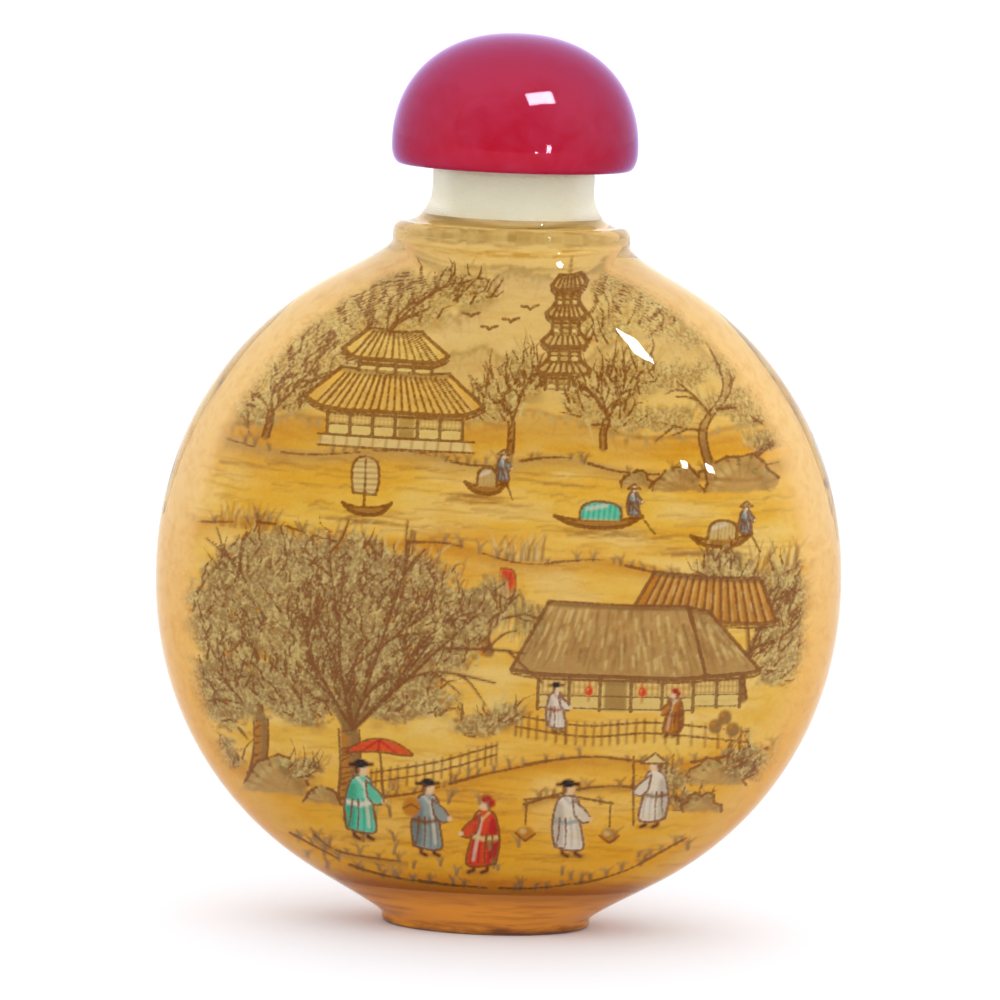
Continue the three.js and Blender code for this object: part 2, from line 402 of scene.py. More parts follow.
class Face:
    """One painted face as its viewer sees it, in millimetres, and what the brush leaves on its points."""

    def __init__(self, rings, columns, facing):
        self.facing = facing
        self.shares = section_shares(columns)
        self.levels = painted_levels(rings)
        stations = [hollow_station(z) for z in self.levels]
        self.half = np.array([x + PAINT_LIFT for x, y, power in stations])
        depth = [
            (y + PAINT_LIFT) * (1 - np.abs(self.shares) ** power).clip(0) ** (1 / power)
            for x, y, power in stations
        ]
        self.depth = np.array(depth)
        self.u = self.half[:, None] * self.shares / MM
        self.z = np.repeat(self.levels[:, None], columns, axis=1) / MM
        self.colour = np.zeros(self.u.shape + (3,))
        self.ink = np.full(self.u.shape, -1.0)
        self.leaf = np.zeros(self.u.shape)

    def meet(self):
        """Cover both sides with the ground's colour, where the two pictures meet."""
        share = np.abs(self.shares)[None, :] * np.ones_like(self.z)
        cover = ramp(share, SIDE_START, SIDE_END)
        height = ramp(self.z, SIDE_ORANGE, SIDE_PEACH)[..., None]
        below_frost = ramp(self.z, SIDE_TOP, SIDE_TOP - 2)
        self.lay(WHOLE, cover * below_frost, ORANGE + (PEACH - ORANGE) * height)
        self.hide(WHOLE, cover)

    def window(self, low_u, high_u, low_z, high_z):
        """The rows and columns that hold this rectangle."""
        rows = slice(*np.searchsorted(self.levels, [low_z * MM, high_z * MM]))
        wide = self.half[rows]
        if not len(wide):
            return rows, slice(0, 0)
        ends = [wide.min() / MM, wide.max() / MM]
        low = min(low_u / end for end in ends)
        high = max(high_u / end for end in ends)
        return rows, slice(*np.searchsorted(self.shares, [low, high]))

    def around(self, path, margin):
        us, zs = [p[0] for p in path], [p[1] for p in path]
        return self.window(min(us) - margin, max(us) + margin, min(zs) - margin, max(zs) + margin)

    def lay(self, part, cover, colour):
        """Paint a colour over part of the face, as densely as cover says."""
        under = self.colour[part]
        under += (np.asarray(colour) - under) * cover[..., None]

    def hide(self, part, cover):
        """Take away the ink and leaves that lie below an opaque mark."""
        self.ink[part] -= cover * (self.ink[part] + 1)
        self.leaf[part] *= 1 - cover

    def stroke(self, path, width, colour=None, strength=1, taper=0.5):
        """A brush line that thins towards its end. Without a colour it is drawn in ink."""
        part = self.around(path, width)
        u, z = self.u[part], self.z[part]
        if not u.size:
            return
        nearest, share = to_line(u, z, path)
        beyond = width / 2 * (1 - taper * share) - nearest
        if colour is None:
            beyond = beyond + INK_SPREAD
            self.ink[part] = np.maximum(self.ink[part], beyond / INK_REACH)
        else:
            cover = np.clip(beyond / SOFT_EDGE + 0.5, 0, 1)
            if width > BROAD_STROKE and strength > OPAQUE:
                self.hide(part, cover)
            self.lay(part, cover * strength, colour)

    def fill(self, outline, colour, strength=1, soft=None, rough=0, seed=0):
        """A flat wash inside an outline, with edges as rough as asked."""
        soft = SOFT_EDGE if soft is None else soft
        part = self.around(outline, soft + rough)
        u, z = self.u[part], self.z[part]
        if not u.size:
            return
        depth = inside(u, z, outline)
        if rough:
            depth = depth + rough * (mottle(u, z, rough * 1.5, seed) - 0.5)
        cover = np.clip(depth / soft + 0.5, 0, 1)
        if strength > OPAQUE:
            self.hide(part, cover)
        self.lay(part, cover * strength, colour)

    def blot(self, at, size, colour, strength=1, soft=0.5, rough=0, seed=0, leaf=0):
        """A rounded patch that fades over the outer soft share of its size."""
        wide, high = size[0] * (1 + rough), size[1] * (1 + rough)
        part = self.window(at[0] - wide, at[0] + wide, at[1] - high, at[1] + high)
        u, z = self.u[part], self.z[part]
        if not u.size:
            return
        out = np.hypot((u - at[0]) / size[0], (z - at[1]) / size[1])
        if rough:
            out = out + rough * 2 * (mottle(u, z, min(size) * 0.35, seed) - 0.5)
        cover = np.clip((1 - out) / soft, 0, 1)
        if strength > OPAQUE:
            self.hide(part, cover)
        self.lay(part, cover * strength, colour)
        if leaf:
            self.leaf[part] = np.maximum(self.leaf[part], cover * leaf)


def to_line(u, z, path):
    """Distance to a line through points, and the share of the line at its nearest place."""
    nearest = np.full(u.shape, np.inf)
    share = np.zeros(u.shape)
    for i, ((au, az), (bu, bz)) in enumerate(zip(path, path[1:])):
        du, dz = bu - au, bz - az
        t = np.clip(((u - au) * du + (z - az) * dz) / max(du * du + dz * dz, 1e-9), 0, 1)
        distance = np.hypot(u - au - t * du, z - az - t * dz)
        closer = distance < nearest
        nearest = np.where(closer, distance, nearest)
        share = np.where(closer, (i + t) / (len(path) - 1), share)
    return nearest, share


def inside(u, z, outline):
    """Distance to a closed outline, negative outside it."""
    closed = list(outline) + [outline[0]]
    within = np.zeros(u.shape, bool)
    for (au, az), (bu, bz) in zip(closed, closed[1:]):
        crosses = (az > z) != (bz > z)
        if az != bz:
            within ^= crosses & (u < au + (z - az) * (bu - au) / (bz - az))
    nearest, _ = to_line(u, z, closed)
    return np.where(within, nearest, -nearest)


def mottle(u, z, size, seed):
    """Soft random patches about as wide as size, from 0 to 1."""
    lattice = np.random.default_rng(seed).random((LATTICE, LATTICE))
    a, b = u / size, z / size
    i, j = np.floor(a).astype(int), np.floor(b).astype(int)
    f, g = a - i, b - j
    f, g = f * f * (3 - 2 * f), g * g * (3 - 2 * g)

    def row(j):
        return lattice[i % LATTICE, j % LATTICE] * (1 - f) + lattice[(i + 1) % LATTICE, j % LATTICE] * f

    return row(j) * (1 - g) + row(j + 1) * g


def clouds(u, z, size, seed):
    """Mottling at three scales."""
    weights = (4, 2, 1)
    layers = [weight * mottle(u, z, size / 2**k, seed + k) for k, weight in enumerate(weights)]
    return sum(layers) / sum(weights)


def tint(code):
    """A linear colour from its six-digit code."""
    parts = [int(code[i : i + 2], 16) / 255 for i in (0, 2, 4)]
    return np.array([c / 12.92 if c <= 0.04045 else ((c + 0.055) / 1.055) ** 2.4 for c in parts])


def held(colour):
    """The pigment that is seen as this colour when it lies against the glass in this room."""
    seen = np.clip(np.asarray(colour) - GLOSS_VEIL, DARKEST_SEEN, None) / PAINT_LIGHT
    return np.clip(seen / (LIGHT_OUT + LIGHT_BACK * seen), 0, PALEST_PIGMENT)


# Colours of the brush, as they are seen
HONEY = tint("e8a54a")
PALE_HONEY = tint("f0b966")
DEEP_AMBER = tint("dc8e3a")
ORANGE = tint("ec8826")
LOW_ORANGE = tint("ff9c3c")
BURNT_ORANGE = tint("f26a1a")
PEACH = tint("fbb26c")
FROST = tint("f8fcd8")
STRAW = tint("d4ae6c")
WALL = tint("d2ac62")
LEAF = tint("c6a866")
OLIVE = tint("927650")
MOSS = tint("8e8250")
UMBER = tint("76593c")
TWIG = tint("845f40")
RUST = tint("ab6630")
ROOF = tint("a27a4c")
SLATE = tint("8a7f70")
INK = tint("68452e")
SKIN = tint("dfae80")
HAIR = tint("35222a")
WHITE = tint("dccdb4")
TURQUOISE = tint("52b592")
TEAL = tint("2b7a68")
VERMILION = tint("cd432c")
CRIMSON = tint("962828")
GREY_BLUE = tint("788684")


def smooth(points, steps=6):
    """A smooth line through points."""
    if len(points) < 3:
        return list(points)
    ends = [points[0], *points, points[-1]]
    line = []
    for a, b, c, d in zip(ends, ends[1:], ends[2:], ends[3:]):
        for k in range(steps):
            t = k / steps
            weights = (
                (-t + 2 * t * t - t**3) / 2,
                (2 - 5 * t * t + 3 * t**3) / 2,
                (t + 4 * t * t - 3 * t**3) / 2,
                (-t * t + t**3) / 2,
            )
            line.append(tuple(sum(w * p[i] for w, p in zip(weights, (a, b, c, d))) for i in (0, 1)))
    return line + [points[-1]]


def between(a, b, t):
    return tuple(p + (q - p) * t for p, q in zip(a, b))


def moved(points, across=0, up=0):
    return [(u + across, z + up) for u, z in points]


# Ground, hills and water


def ground(face):
    """Amber: honey in the middle, orange below, peach along the rim and frosted at the bore."""
    u, z = face.u, face.z
    out = np.hypot(u / 27.5, (z - 30) / 28)
    streaks = clouds(u * 0.3, z, 1.6, 3)
    patches = clouds(u * 0.7, z, 7, 7)
    face.colour[:] = HONEY
    face.lay(WHOLE, np.clip((streaks - 0.5) * 3, 0, 0.75), PALE_HONEY)
    face.lay(WHOLE, np.clip((0.5 - streaks) * 2.6, 0, 0.7), DEEP_AMBER)
    face.lay(WHOLE, np.clip((patches - 0.5) * 3, 0, 0.7), DEEP_AMBER)
    face.lay(WHOLE, ramp(z, 17, 4) * 0.9, ORANGE)
    face.lay(WHOLE, ramp(z, 9, 5) * np.clip(patches * 1.6, 0, 1), LOW_ORANGE)
    face.lay(WHOLE, ramp(z, 6.4, 4.6, most=0.85), BURNT_ORANGE)
    face.lay(WHOLE, ramp(out, 0.9, 1.04) * ramp(z, 6, 16, most=0.7), PEACH)
    face.lay(WHOLE, ramp(z, 44, 56, most=0.6), PALE_HONEY)
    face.lay(WHOLE, ramp(z, 62.3, 64.1), FROST)


def ridge(face, points, depth, colour, seed, strength=0.5):
    """A far hill: a wash that thins downwards under a ragged skyline, with dry strokes down its sides."""
    rng = random.Random(seed)
    line = [(u, z + rng.uniform(-0.25, 0.25)) for u, z in smooth(points, 8)]
    foot = moved([line[-1], line[0]], up=-depth)
    face.fill(line + foot, colour, strength * 0.7, soft=depth * 0.8)
    for drop, share in ((0, 1), (0.6, 0.6), (1.2, 0.35)):
        face.stroke(moved(line, up=-drop), 0.5 + drop, colour, strength * share, taper=0)
    face.stroke(line, 0.24, TWIG, 0.75, taper=0.2)
    for u, z in line[2:-2]:
        for _ in range(3):
            spot = (u + rng.uniform(-0.5, 0.5), z + rng.uniform(-0.5, 0.2))
            face.blot(spot, (0.3, rng.uniform(0.25, 0.6)), rng.choice([OLIVE, UMBER, MOSS]), 0.55, soft=0.7)
        fall = rng.uniform(0.6, depth * 0.7)
        lean = rng.uniform(-1.6, 1.6)
        side = [(u, z), (u + lean * 0.4, z - fall * 0.5), (u + lean, z - fall)]
        face.stroke(side, 0.2, TWIG, 0.35, taper=0.8)


def ripples(face, box, count, seed, colour, strength=0.6):
    """Short level strokes inside a box of left, right, low and high."""
    rng = random.Random(seed)
    for _ in range(count):
        u, z = rng.uniform(box[0], box[1]), rng.uniform(box[2], box[3])
        half = rng.uniform(0.6, 3.2)
        crest = (u - half * 0.3, z + rng.uniform(0, 0.25))
        path = smooth([(u - half, z), crest, (u + half * 0.4, z - 0.1), (u + half, z)], 3)
        face.stroke(path, rng.uniform(0.13, 0.24), colour, strength * rng.uniform(0.5, 1), taper=0.6)


def bank(face, points, seed, wash, depth=1.2):
    """The edge of a path or a shore: a broken line over a wash that fades, with grass along it."""
    rng = random.Random(seed)
    line = smooth(points, 8)
    for k in range(4):
        face.stroke(moved(line, up=-depth * k / 4), depth / 2, wash, 0.45 * (1 - k / 4), taper=0)
    for start in range(0, len(line) - 3, 7):
        part = line[start : start + rng.randint(6, 9)]
        face.stroke(moved(part, up=rng.uniform(-0.1, 0.1)), rng.uniform(0.16, 0.28), taper=0.5)
    for u, z in line[1:-1]:
        if rng.random() < 0.7:
            tuft(face, (u + rng.uniform(-0.5, 0.5), z), rng.uniform(0.4, 1.1), rng.randrange(999))


def tuft(face, at, height, seed, blades=5):
    """A few bent blades of grass."""
    rng = random.Random(seed)
    u, z = at
    for _ in range(blades):
        lean = rng.uniform(-0.7, 0.7) * height
        tip = (u + lean, z + height * rng.uniform(0.6, 1.1))
        colour = rng.choice([TWIG, OLIVE, UMBER])
        face.stroke([(u, z), (u + lean * 0.35, z + height * 0.6), tip], 0.17, colour, 0.8)


def reeds(face, at, width, height, seed):
    rng = random.Random(seed)
    for _ in range(int(width * 8)):
        u = at[0] + rng.uniform(-width, width) / 2
        tall = height * rng.uniform(0.5, 1)
        lean = rng.uniform(-0.25, 0.45) * tall
        path = [(u, at[1]), (u + lean * 0.3, at[1] + tall * 0.6), (u + lean, at[1] + tall)]
        face.stroke(path, 0.18, rng.choice([OLIVE, TWIG, STRAW, UMBER]), 0.85, taper=0.8)


def rock(face, at, size, seed):
    """A boulder: a brown wash in a broken outline, with creases, a shaded foot and moss."""
    rng = random.Random(seed)
    u, z = at
    w, h = size
    outline = []
    for k in range(11):
        angle = math.pi * k / 10
        swell = rng.uniform(0.82, 1.12)
        outline.append((u + math.cos(angle) * w / 2 * swell, z + math.sin(angle) * h * swell))
    face.fill(outline, ROOF, 0.94, rough=0.3, seed=seed)
    face.fill([between((u, z), p, 0.8) for p in outline[:6]], UMBER, 0.5, soft=0.6)
    face.fill([between((u - w * 0.1, z + h * 0.3), p, 0.6) for p in outline[5:]], STRAW, 0.45, soft=0.7)
    for k in range(10):
        if rng.random() < 0.8:
            face.stroke(outline[k : k + 2], rng.uniform(0.18, 0.3), taper=0.3)
    for k in range(1, 10):
        inner = between(outline[k], (u, z), rng.uniform(0.3, 0.75))
        face.stroke([outline[k], (inner[0] + 0.2, inner[1])], 0.18, TWIG, 0.8, taper=0.8)
    for _ in range(int(w * 3)):
        spot = between(outline[rng.randrange(2, 9)], (u, z), rng.uniform(0, 0.35))
        face.blot(spot, (0.24, 0.17), rng.choice([MOSS, UMBER]), 0.9)


# Trees


def crown(face, masses, root, seed, density=8, wash=0.92):
    """Leaves: dark masses, lit and shaded clumps, dabs, and fine twigs that fan out from the root."""
    rng = random.Random(seed)
    for u, z, ru, rz in masses:
        face.blot((u, z), (ru, rz), OLIVE, wash, soft=0.25, rough=0.3, seed=rng.randrange(999), leaf=1)
    area = [ru * rz for u, z, ru, rz in masses]

    def place():
        u, z, ru, rz = rng.choices(masses, area)[0]
        angle, out = rng.uniform(0, 2 * math.pi), math.sqrt(rng.random())
        return u + ru * out * math.cos(angle), z + rz * out * math.sin(angle)

    count = int(sum(area) * density)
    for _ in range(count // 4):
        u, z = place()
        size = rng.uniform(0.5, 1.1)
        face.blot((u + size * 0.3, z - size * 0.4), (size, size * 0.7), UMBER, 0.42, soft=0.8)
        lit = rng.choice([MOSS, LEAF])
        face.blot((u - size * 0.2, z + size * 0.3), (size * 0.8, size * 0.5), lit, 0.42, soft=0.8)
    for _ in range(count * 2):
        size = rng.uniform(0.15, 0.4)
        colour = rng.choice([OLIVE, MOSS, TWIG, LEAF, RUST, UMBER, UMBER])
        face.blot(place(), (size, size * 0.7), colour, rng.uniform(0.4, 0.85), soft=0.6)
    for _ in range(count):
        u, z = place()
        away = math.atan2(z - root[1], u - root[0]) * 0.5 + math.pi / 4 + rng.uniform(-0.7, 0.7)
        half = rng.uniform(0.4, 1.2)
        bend = rng.uniform(-0.5, 0.5)
        knee = (u + math.cos(away + bend) * half, z + math.sin(away + bend) * half)
        tip = (knee[0] + math.cos(away - bend) * half, knee[1] + math.sin(away - bend) * half)
        if rng.random() < 0.4:
            face.stroke([(u, z), knee, tip], rng.uniform(0.13, 0.22), taper=0.9)
        else:
            colour = rng.choice([UMBER, TWIG, LEAF, LEAF])
            face.stroke([(u, z), knee, tip], rng.uniform(0.17, 0.27), colour, 0.8, taper=0.8)


def branch(face, start, tip, width, rng, forks):
    """A crooked limb, and the smaller ones that leave it."""
    knee = between(start, tip, rng.uniform(0.4, 0.6))
    reach = math.dist(start, tip)
    knee = (knee[0] + rng.uniform(-0.12, 0.12) * reach, knee[1] + rng.uniform(-0.06, 0.12) * reach)
    line = smooth([start, knee, tip])
    face.stroke(line, width, UMBER, 0.85, taper=0.6)
    face.stroke(moved(line, across=width * 0.3), max(width * 0.3, 0.17), taper=0.5)
    if forks:
        for share in (0.45, 0.7):
            joint = line[int(share * (len(line) - 1))]
            turn = rng.uniform(-0.9, 0.9)
            far = reach * rng.uniform(0.35, 0.55)
            angle = math.atan2(tip[1] - start[1], tip[0] - start[0]) + turn
            end = (joint[0] + math.cos(angle) * far, joint[1] + math.sin(angle) * far)
            branch(face, joint, end, width * 0.55, rng, forks - 1)


def trunk(face, foot, fork, width, seed):
    rng = random.Random(seed)
    middle = between(foot, fork, 0.5)
    line = smooth([foot, (middle[0] + rng.uniform(-0.5, 0.5), middle[1]), fork])
    face.stroke(line, width, TWIG, 0.95, taper=0.3)
    face.stroke(moved(line, across=width * 0.22), width * 0.4, UMBER, 0.7, taper=0.3)
    face.stroke(moved(line, across=-width * 0.2), width * 0.3, RUST, 0.6, taper=0.3)
    for side in (-0.44, 0.4):
        face.stroke(moved(line, across=width * side), 0.2, taper=0.2)
    for k in range(int(math.dist(foot, fork) * 2)):
        u, z = between(foot, fork, rng.random())
        end = (u + rng.uniform(-0.2, 0.3) * width, z + rng.uniform(0.1, 0.5))
        face.stroke([(u - width * 0.3, z), end], 0.16)


def tree(face, foot, fork, masses, width, seed, density=8):
    rng = random.Random(seed)
    crown(face, masses, fork, seed, density)
    trunk(face, foot, fork, width, seed)
    for u, z, ru, rz in masses:
        tip = (u + rng.uniform(-0.3, 0.3) * ru, z + rng.uniform(0, 0.5) * rz)
        branch(face, fork, tip, width * 0.42, rng, 2)
    nearer = [(u, z, ru * 0.9, rz * 0.8) for u, z, ru, rz in masses[1::2]]
    crown(face, nearer, fork, seed + 1, density * 0.3, wash=0.4)


def pine(face, foot, pads, width, seed):
    """A bent pine with level pads of needles."""
    rng = random.Random(seed)
    top = max(pads, key=lambda pad: pad[1])
    low, high = between(foot, top, 0.35), between(foot, top, 0.65)
    stem = smooth([foot, (foot[0] - 1.2, low[1]), (foot[0] + 0.6, high[1]), top[:2]])
    face.stroke(stem, width, TWIG, 0.95, taper=0.6)
    face.stroke(moved(stem, across=width * 0.2), width * 0.4, UMBER, 0.7, taper=0.6)
    for side in (-0.38, 0.38):
        face.stroke(moved(stem, across=width * side), 0.18, taper=0.4)
    for u, z, ru, rz in pads:
        start = min(stem, key=lambda p: math.hypot(p[0] - u, p[1] - z + 1.2))
        branch(face, start, (u, z - rz * 0.3), 0.4, rng, 1)
        face.blot((u, z), (ru, rz), OLIVE, 0.88, soft=0.3, rough=0.3, seed=rng.randrange(999), leaf=1)
        face.blot((u, z - rz * 0.4), (ru * 0.9, rz * 0.45), UMBER, 0.6, soft=0.8)
        for _ in range(int(ru * 24)):
            at = rng.uniform(-1, 1)
            foot_z = z - rz * 0.6 * math.sqrt(1 - at * at) + rng.uniform(0, rz)
            tip = (u + at * ru * 1.08 + rng.uniform(-0.3, 0.3), foot_z + rng.uniform(0.4, 0.9))
            colour = rng.choice([UMBER, MOSS, TWIG, INK, LEAF])
            face.stroke([(u + at * ru, foot_z), tip], 0.17, colour, 0.8, taper=0.9)


def willow(face, foot, fork, reach, seed, strands=110):
    """A willow whose strands hang from a few arching limbs."""
    rng = random.Random(seed)
    trunk(face, foot, fork, 0.9, seed)
    tips = [(fork[0] + reach * k, fork[1] + reach * (1.05 - 0.75 * abs(k))) for k in (-1, -0.5, 0, 0.5, 1)]
    for tip in tips:
        branch(face, fork, tip, 0.45, rng, 1)
        below = (tip[0], tip[1] - 0.8)
        face.blot(below, (reach * 0.4, 1.9), MOSS, 0.7, soft=0.7, rough=0.4, seed=seed, leaf=0.8)
    for _ in range(strands):
        u, z = rng.choice(tips)
        u += rng.uniform(-1, 1) * reach * 0.36
        z += rng.uniform(-0.4, 0.6)
        fall = rng.uniform(1.4, 4)
        path = smooth([(u, z), (u + 0.25, z - fall * 0.5), (u + rng.uniform(-0.2, 0.4), z - fall)], 3)
        face.stroke(path, 0.19, rng.choice([OLIVE, MOSS, TWIG, LEAF, UMBER]), 0.8, taper=0.8)


# Buildings


def roof(face, eave, crest, colour, rows, curl=0.5, tiled=True, seed=1):
    """A roof between an eave and a crest, each a left and a right end, with upturned corners."""
    rng = random.Random(seed)
    lift = [(0, curl), (0.14, 0), (0.5, 0), (0.86, 0), (1, curl)]
    low = smooth([moved([between(*eave, t)], up=rise)[0] for t, rise in lift])
    high = smooth([moved([between(*crest, t)], up=rise * 0.4)[0] for t, rise in lift[::2]])
    face.fill(low + high[::-1], colour, 0.95, rough=0.12, seed=seed)
    extra = (len(low) - len(high)) // 2
    paired = high[:1] * extra + high[1:-1] + high[-1:] * (extra + 2)
    shade = [between(a, b, 0.5) for a, b in zip(low, paired)]
    face.fill(low + shade[::-1], UMBER, 0.25, soft=0.9)
    for k in range(1, rows):
        t = k / rows
        foot = between(*eave, t)
        head = between(*crest, t)
        if tiled:
            face.stroke([head, foot], rng.uniform(0.15, 0.2), taper=0.1)
            lighter = moved([head, foot], across=0.24)
            face.stroke(lighter, 0.18, STRAW, 0.45, taper=0.2)
        for _ in range(2 if tiled else 9):
            s = rng.uniform(0, 0.8)
            start = between(head, foot, s)
            end = between(head, foot, s + rng.uniform(0.1, 0.25))
            sway = rng.uniform(-0.3, 0.3)
            face.stroke(moved([start, end], across=sway), 0.2, rng.choice([UMBER, TWIG, STRAW, UMBER]), 0.65)
    face.stroke(low, 0.32, taper=0)
    face.stroke(moved(low, up=-0.36), 0.17, taper=0)
    face.stroke(high, 0.45, UMBER, 0.95, taper=0)
    face.stroke(moved(high, up=0.2), 0.18, taper=0)
    for a, b in ((low[0], high[0]), (low[-1], high[-1])):
        face.stroke([a, b], 0.28, taper=0)


def walls(face, left, right, low, height, bays, door=None):
    """A plastered wall under an eave, with posts, rails and lattice windows."""

    def rail(a, b, share, width=0.15, colour=None):
        face.stroke([(a, low + height * share), (b, low + height * share)], width, colour, 0.8, taper=0)

    def post(u, share, width=0.15, colour=None, foot=0):
        face.stroke([(u, low + height * foot), (u, low + height * share)], width, colour, 0.85, taper=0)

    def panel(a, b, foot, head, colour, strength):
        corners = [(a, low + height * foot), (b, low + height * foot), (b, low + height * head)]
        face.fill(corners + [(a, low + height * head)], colour, strength)

    panel(left, right, 0, 1, WALL, 0.92)
    panel(left, right, 0.68, 1, UMBER, 0.5)
    for k in range(bays):
        a = left + (right - left) * (k + 0.14) / bays
        b = left + (right - left) * (k + 0.86) / bays
        if k == door:
            panel(a, b, 0, 0.8, UMBER, 0.8)
            continue
        panel(a, b, 0.44, 0.8, PALE_HONEY, 0.7)
        for j in range(5):
            post(a + (b - a) * j / 4, 0.82, 0.14, TWIG, 0.44)
        for share in (0.44, 0.63, 0.82):
            rail(a, b, share, 0.14, TWIG)
    for k in range(bays + 1):
        post(left + (right - left) * k / bays, 1, 0.26)
    for share in (0.04, 0.38):
        rail(left, right, share)


def pagoda(face, at, width, storeys, storey):
    """A tower of storeys, each a little narrower, with a spire."""
    u, z = at
    for k in range(storeys):
        half = width / 2 * (1 - 0.13 * k)
        level = z + storey * k
        walls(face, u - half * 0.66, u + half * 0.66, level, storey * 0.6, 3, door=1)
        eave = ((u - half, level + storey * 0.56), (u + half, level + storey * 0.56))
        crest = ((u - half * 0.6, level + storey), (u + half * 0.6, level + storey))
        roof(face, eave, crest, ROOF, 7, curl=0.42, seed=k)
    top = z + storey * storeys
    face.stroke([(u, top), (u, top + storey * 0.9)], 0.3, UMBER, 0.9)
    for k in range(3):
        face.blot((u, top + storey * (0.25 + 0.22 * k)), (0.34 - 0.07 * k, 0.15), INK, 0.8)


def fence(face, points, height, seed, gap=0.7):
    rng = random.Random(seed)
    line = smooth(points, 8)
    for share in (0.35, 0.85):
        face.stroke(moved(line, up=height * share), 0.17, taper=0)
    count = int(sum(math.dist(a, b) for a, b in zip(line, line[1:])) / gap)
    for k in range(count + 1):
        u, z = line[int(k / count * (len(line) - 1))]
        tip = (u + rng.uniform(-0.08, 0.08), z + height)
        face.stroke([(u, z - 0.1), tip], 0.21, rng.choice([UMBER, TWIG, INK]), 0.9, taper=0.1)


def lantern(face, at, size=0.42):
    u, z = at
    face.stroke([(u, z + size * 2), (u, z - size * 2)], 0.15, CRIMSON, 0.9, taper=0)
    face.blot((u, z), (size, size * 1.2), VERMILION, 1.0, soft=0.3)
    face.blot((u - size * 0.25, z + size * 0.3), (size * 0.3, size * 0.4), STRAW, 0.6)


def banner(face, at, height):
    u, z = at
    face.stroke([(u, z), (u, z + height)], 0.22, taper=0)
    corners = [(0, 1), (1.1, 0.95), (1.3, 0.62), (0.7, 0.44), (0, 0.52)]
    cloth = smooth([(u + a, z + height * b) for a, b in corners])
    face.fill(cloth, VERMILION, 0.95)
    for shift in (0.35, 0.8):
        face.stroke([(u + shift, z + height * 0.9), (u + shift, z + height * 0.58)], 0.18, CRIMSON, 0.8)
    face.stroke(cloth, 0.16, taper=0.1)


# Boats and people


def boat(face, at, length, awning, seed, sail=0):
    """A river boat with a mat awning and a boatman, or with a sail of the height given."""
    u, z = at
    half = length / 2

    def on_boat(*points):
        return [(u + half * across, z + up) for across, up in points]

    hull = smooth(on_boat((-1, 0.8), (-0.6, 0.1), (0, -0.14), (0.6, 0.08), (1, 0.95)))
    deck = smooth(on_boat((1, 0.95), (0.5, 0.6), (0, 0.5), (-0.5, 0.54), (-1, 0.8)))
    face.fill(hull + deck, TWIG, 0.95)
    face.fill(deck + on_boat((-0.5, 0.3), (0.5, 0.3)), RUST, 0.6)
    face.stroke(hull, 0.3, taper=0)
    face.stroke(deck, 0.2, taper=0)
    if sail:
        mast = on_boat((-0.1, 0.6), (-0.1, sail))
        mast_u = mast[0][0]
        corners = [(-1, 0.35), (-1.15, 0.75), (-0.5, 0.97), (0.9, 0.92), (1.2, 0.6), (0.95, 0.33)]
        cloth = smooth([(mast_u + a, z + sail * b) for a, b in corners])
        face.fill(cloth, STRAW, 0.95)
        face.stroke(cloth + cloth[:1], 0.2, taper=0)
        face.stroke(mast, 0.22)
        for k in range(6):
            level = z + sail * (0.4 + 0.1 * k)
            batten = [(mast_u - 1.05, level), (mast_u + 1.1, level + 0.06)]
            face.stroke(batten, 0.15, TWIG, 0.85, taper=0)
    else:
        sides = [(-0.42, 0.55), (-0.38, 1.6), (-0.1, 2.1), (0.3, 2.0), (0.5, 1.5), (0.52, 0.55)]
        arch = smooth(on_boat(*sides))
        face.fill(arch, awning, 0.97)
        ribs = TEAL if awning is TURQUOISE else TWIG
        for k in range(8):
            across = -0.36 + 0.12 * k
            face.stroke(on_boat((across, 0.6), (across + 0.03, 1.9)), 0.17, ribs, 0.8, taper=0)
        face.fill(on_boat((-0.3, 1.6), (0.2, 1.95), (0.2, 1.65), (-0.3, 1.3)), WHITE, 0.5)
        face.stroke(arch, 0.22, taper=0)
        person(face, *on_boat((0.78, 0.75)), 2.8, GREY_BLUE, hat="straw")
        face.stroke(on_boat((0.7, 2.2), (1.3, -0.6)), 0.17, taper=0.2)
    ripples(face, (u - half * 1.2, u + half * 1.2, z - 1, z - 0.2), 12, seed, TWIG, 0.8)


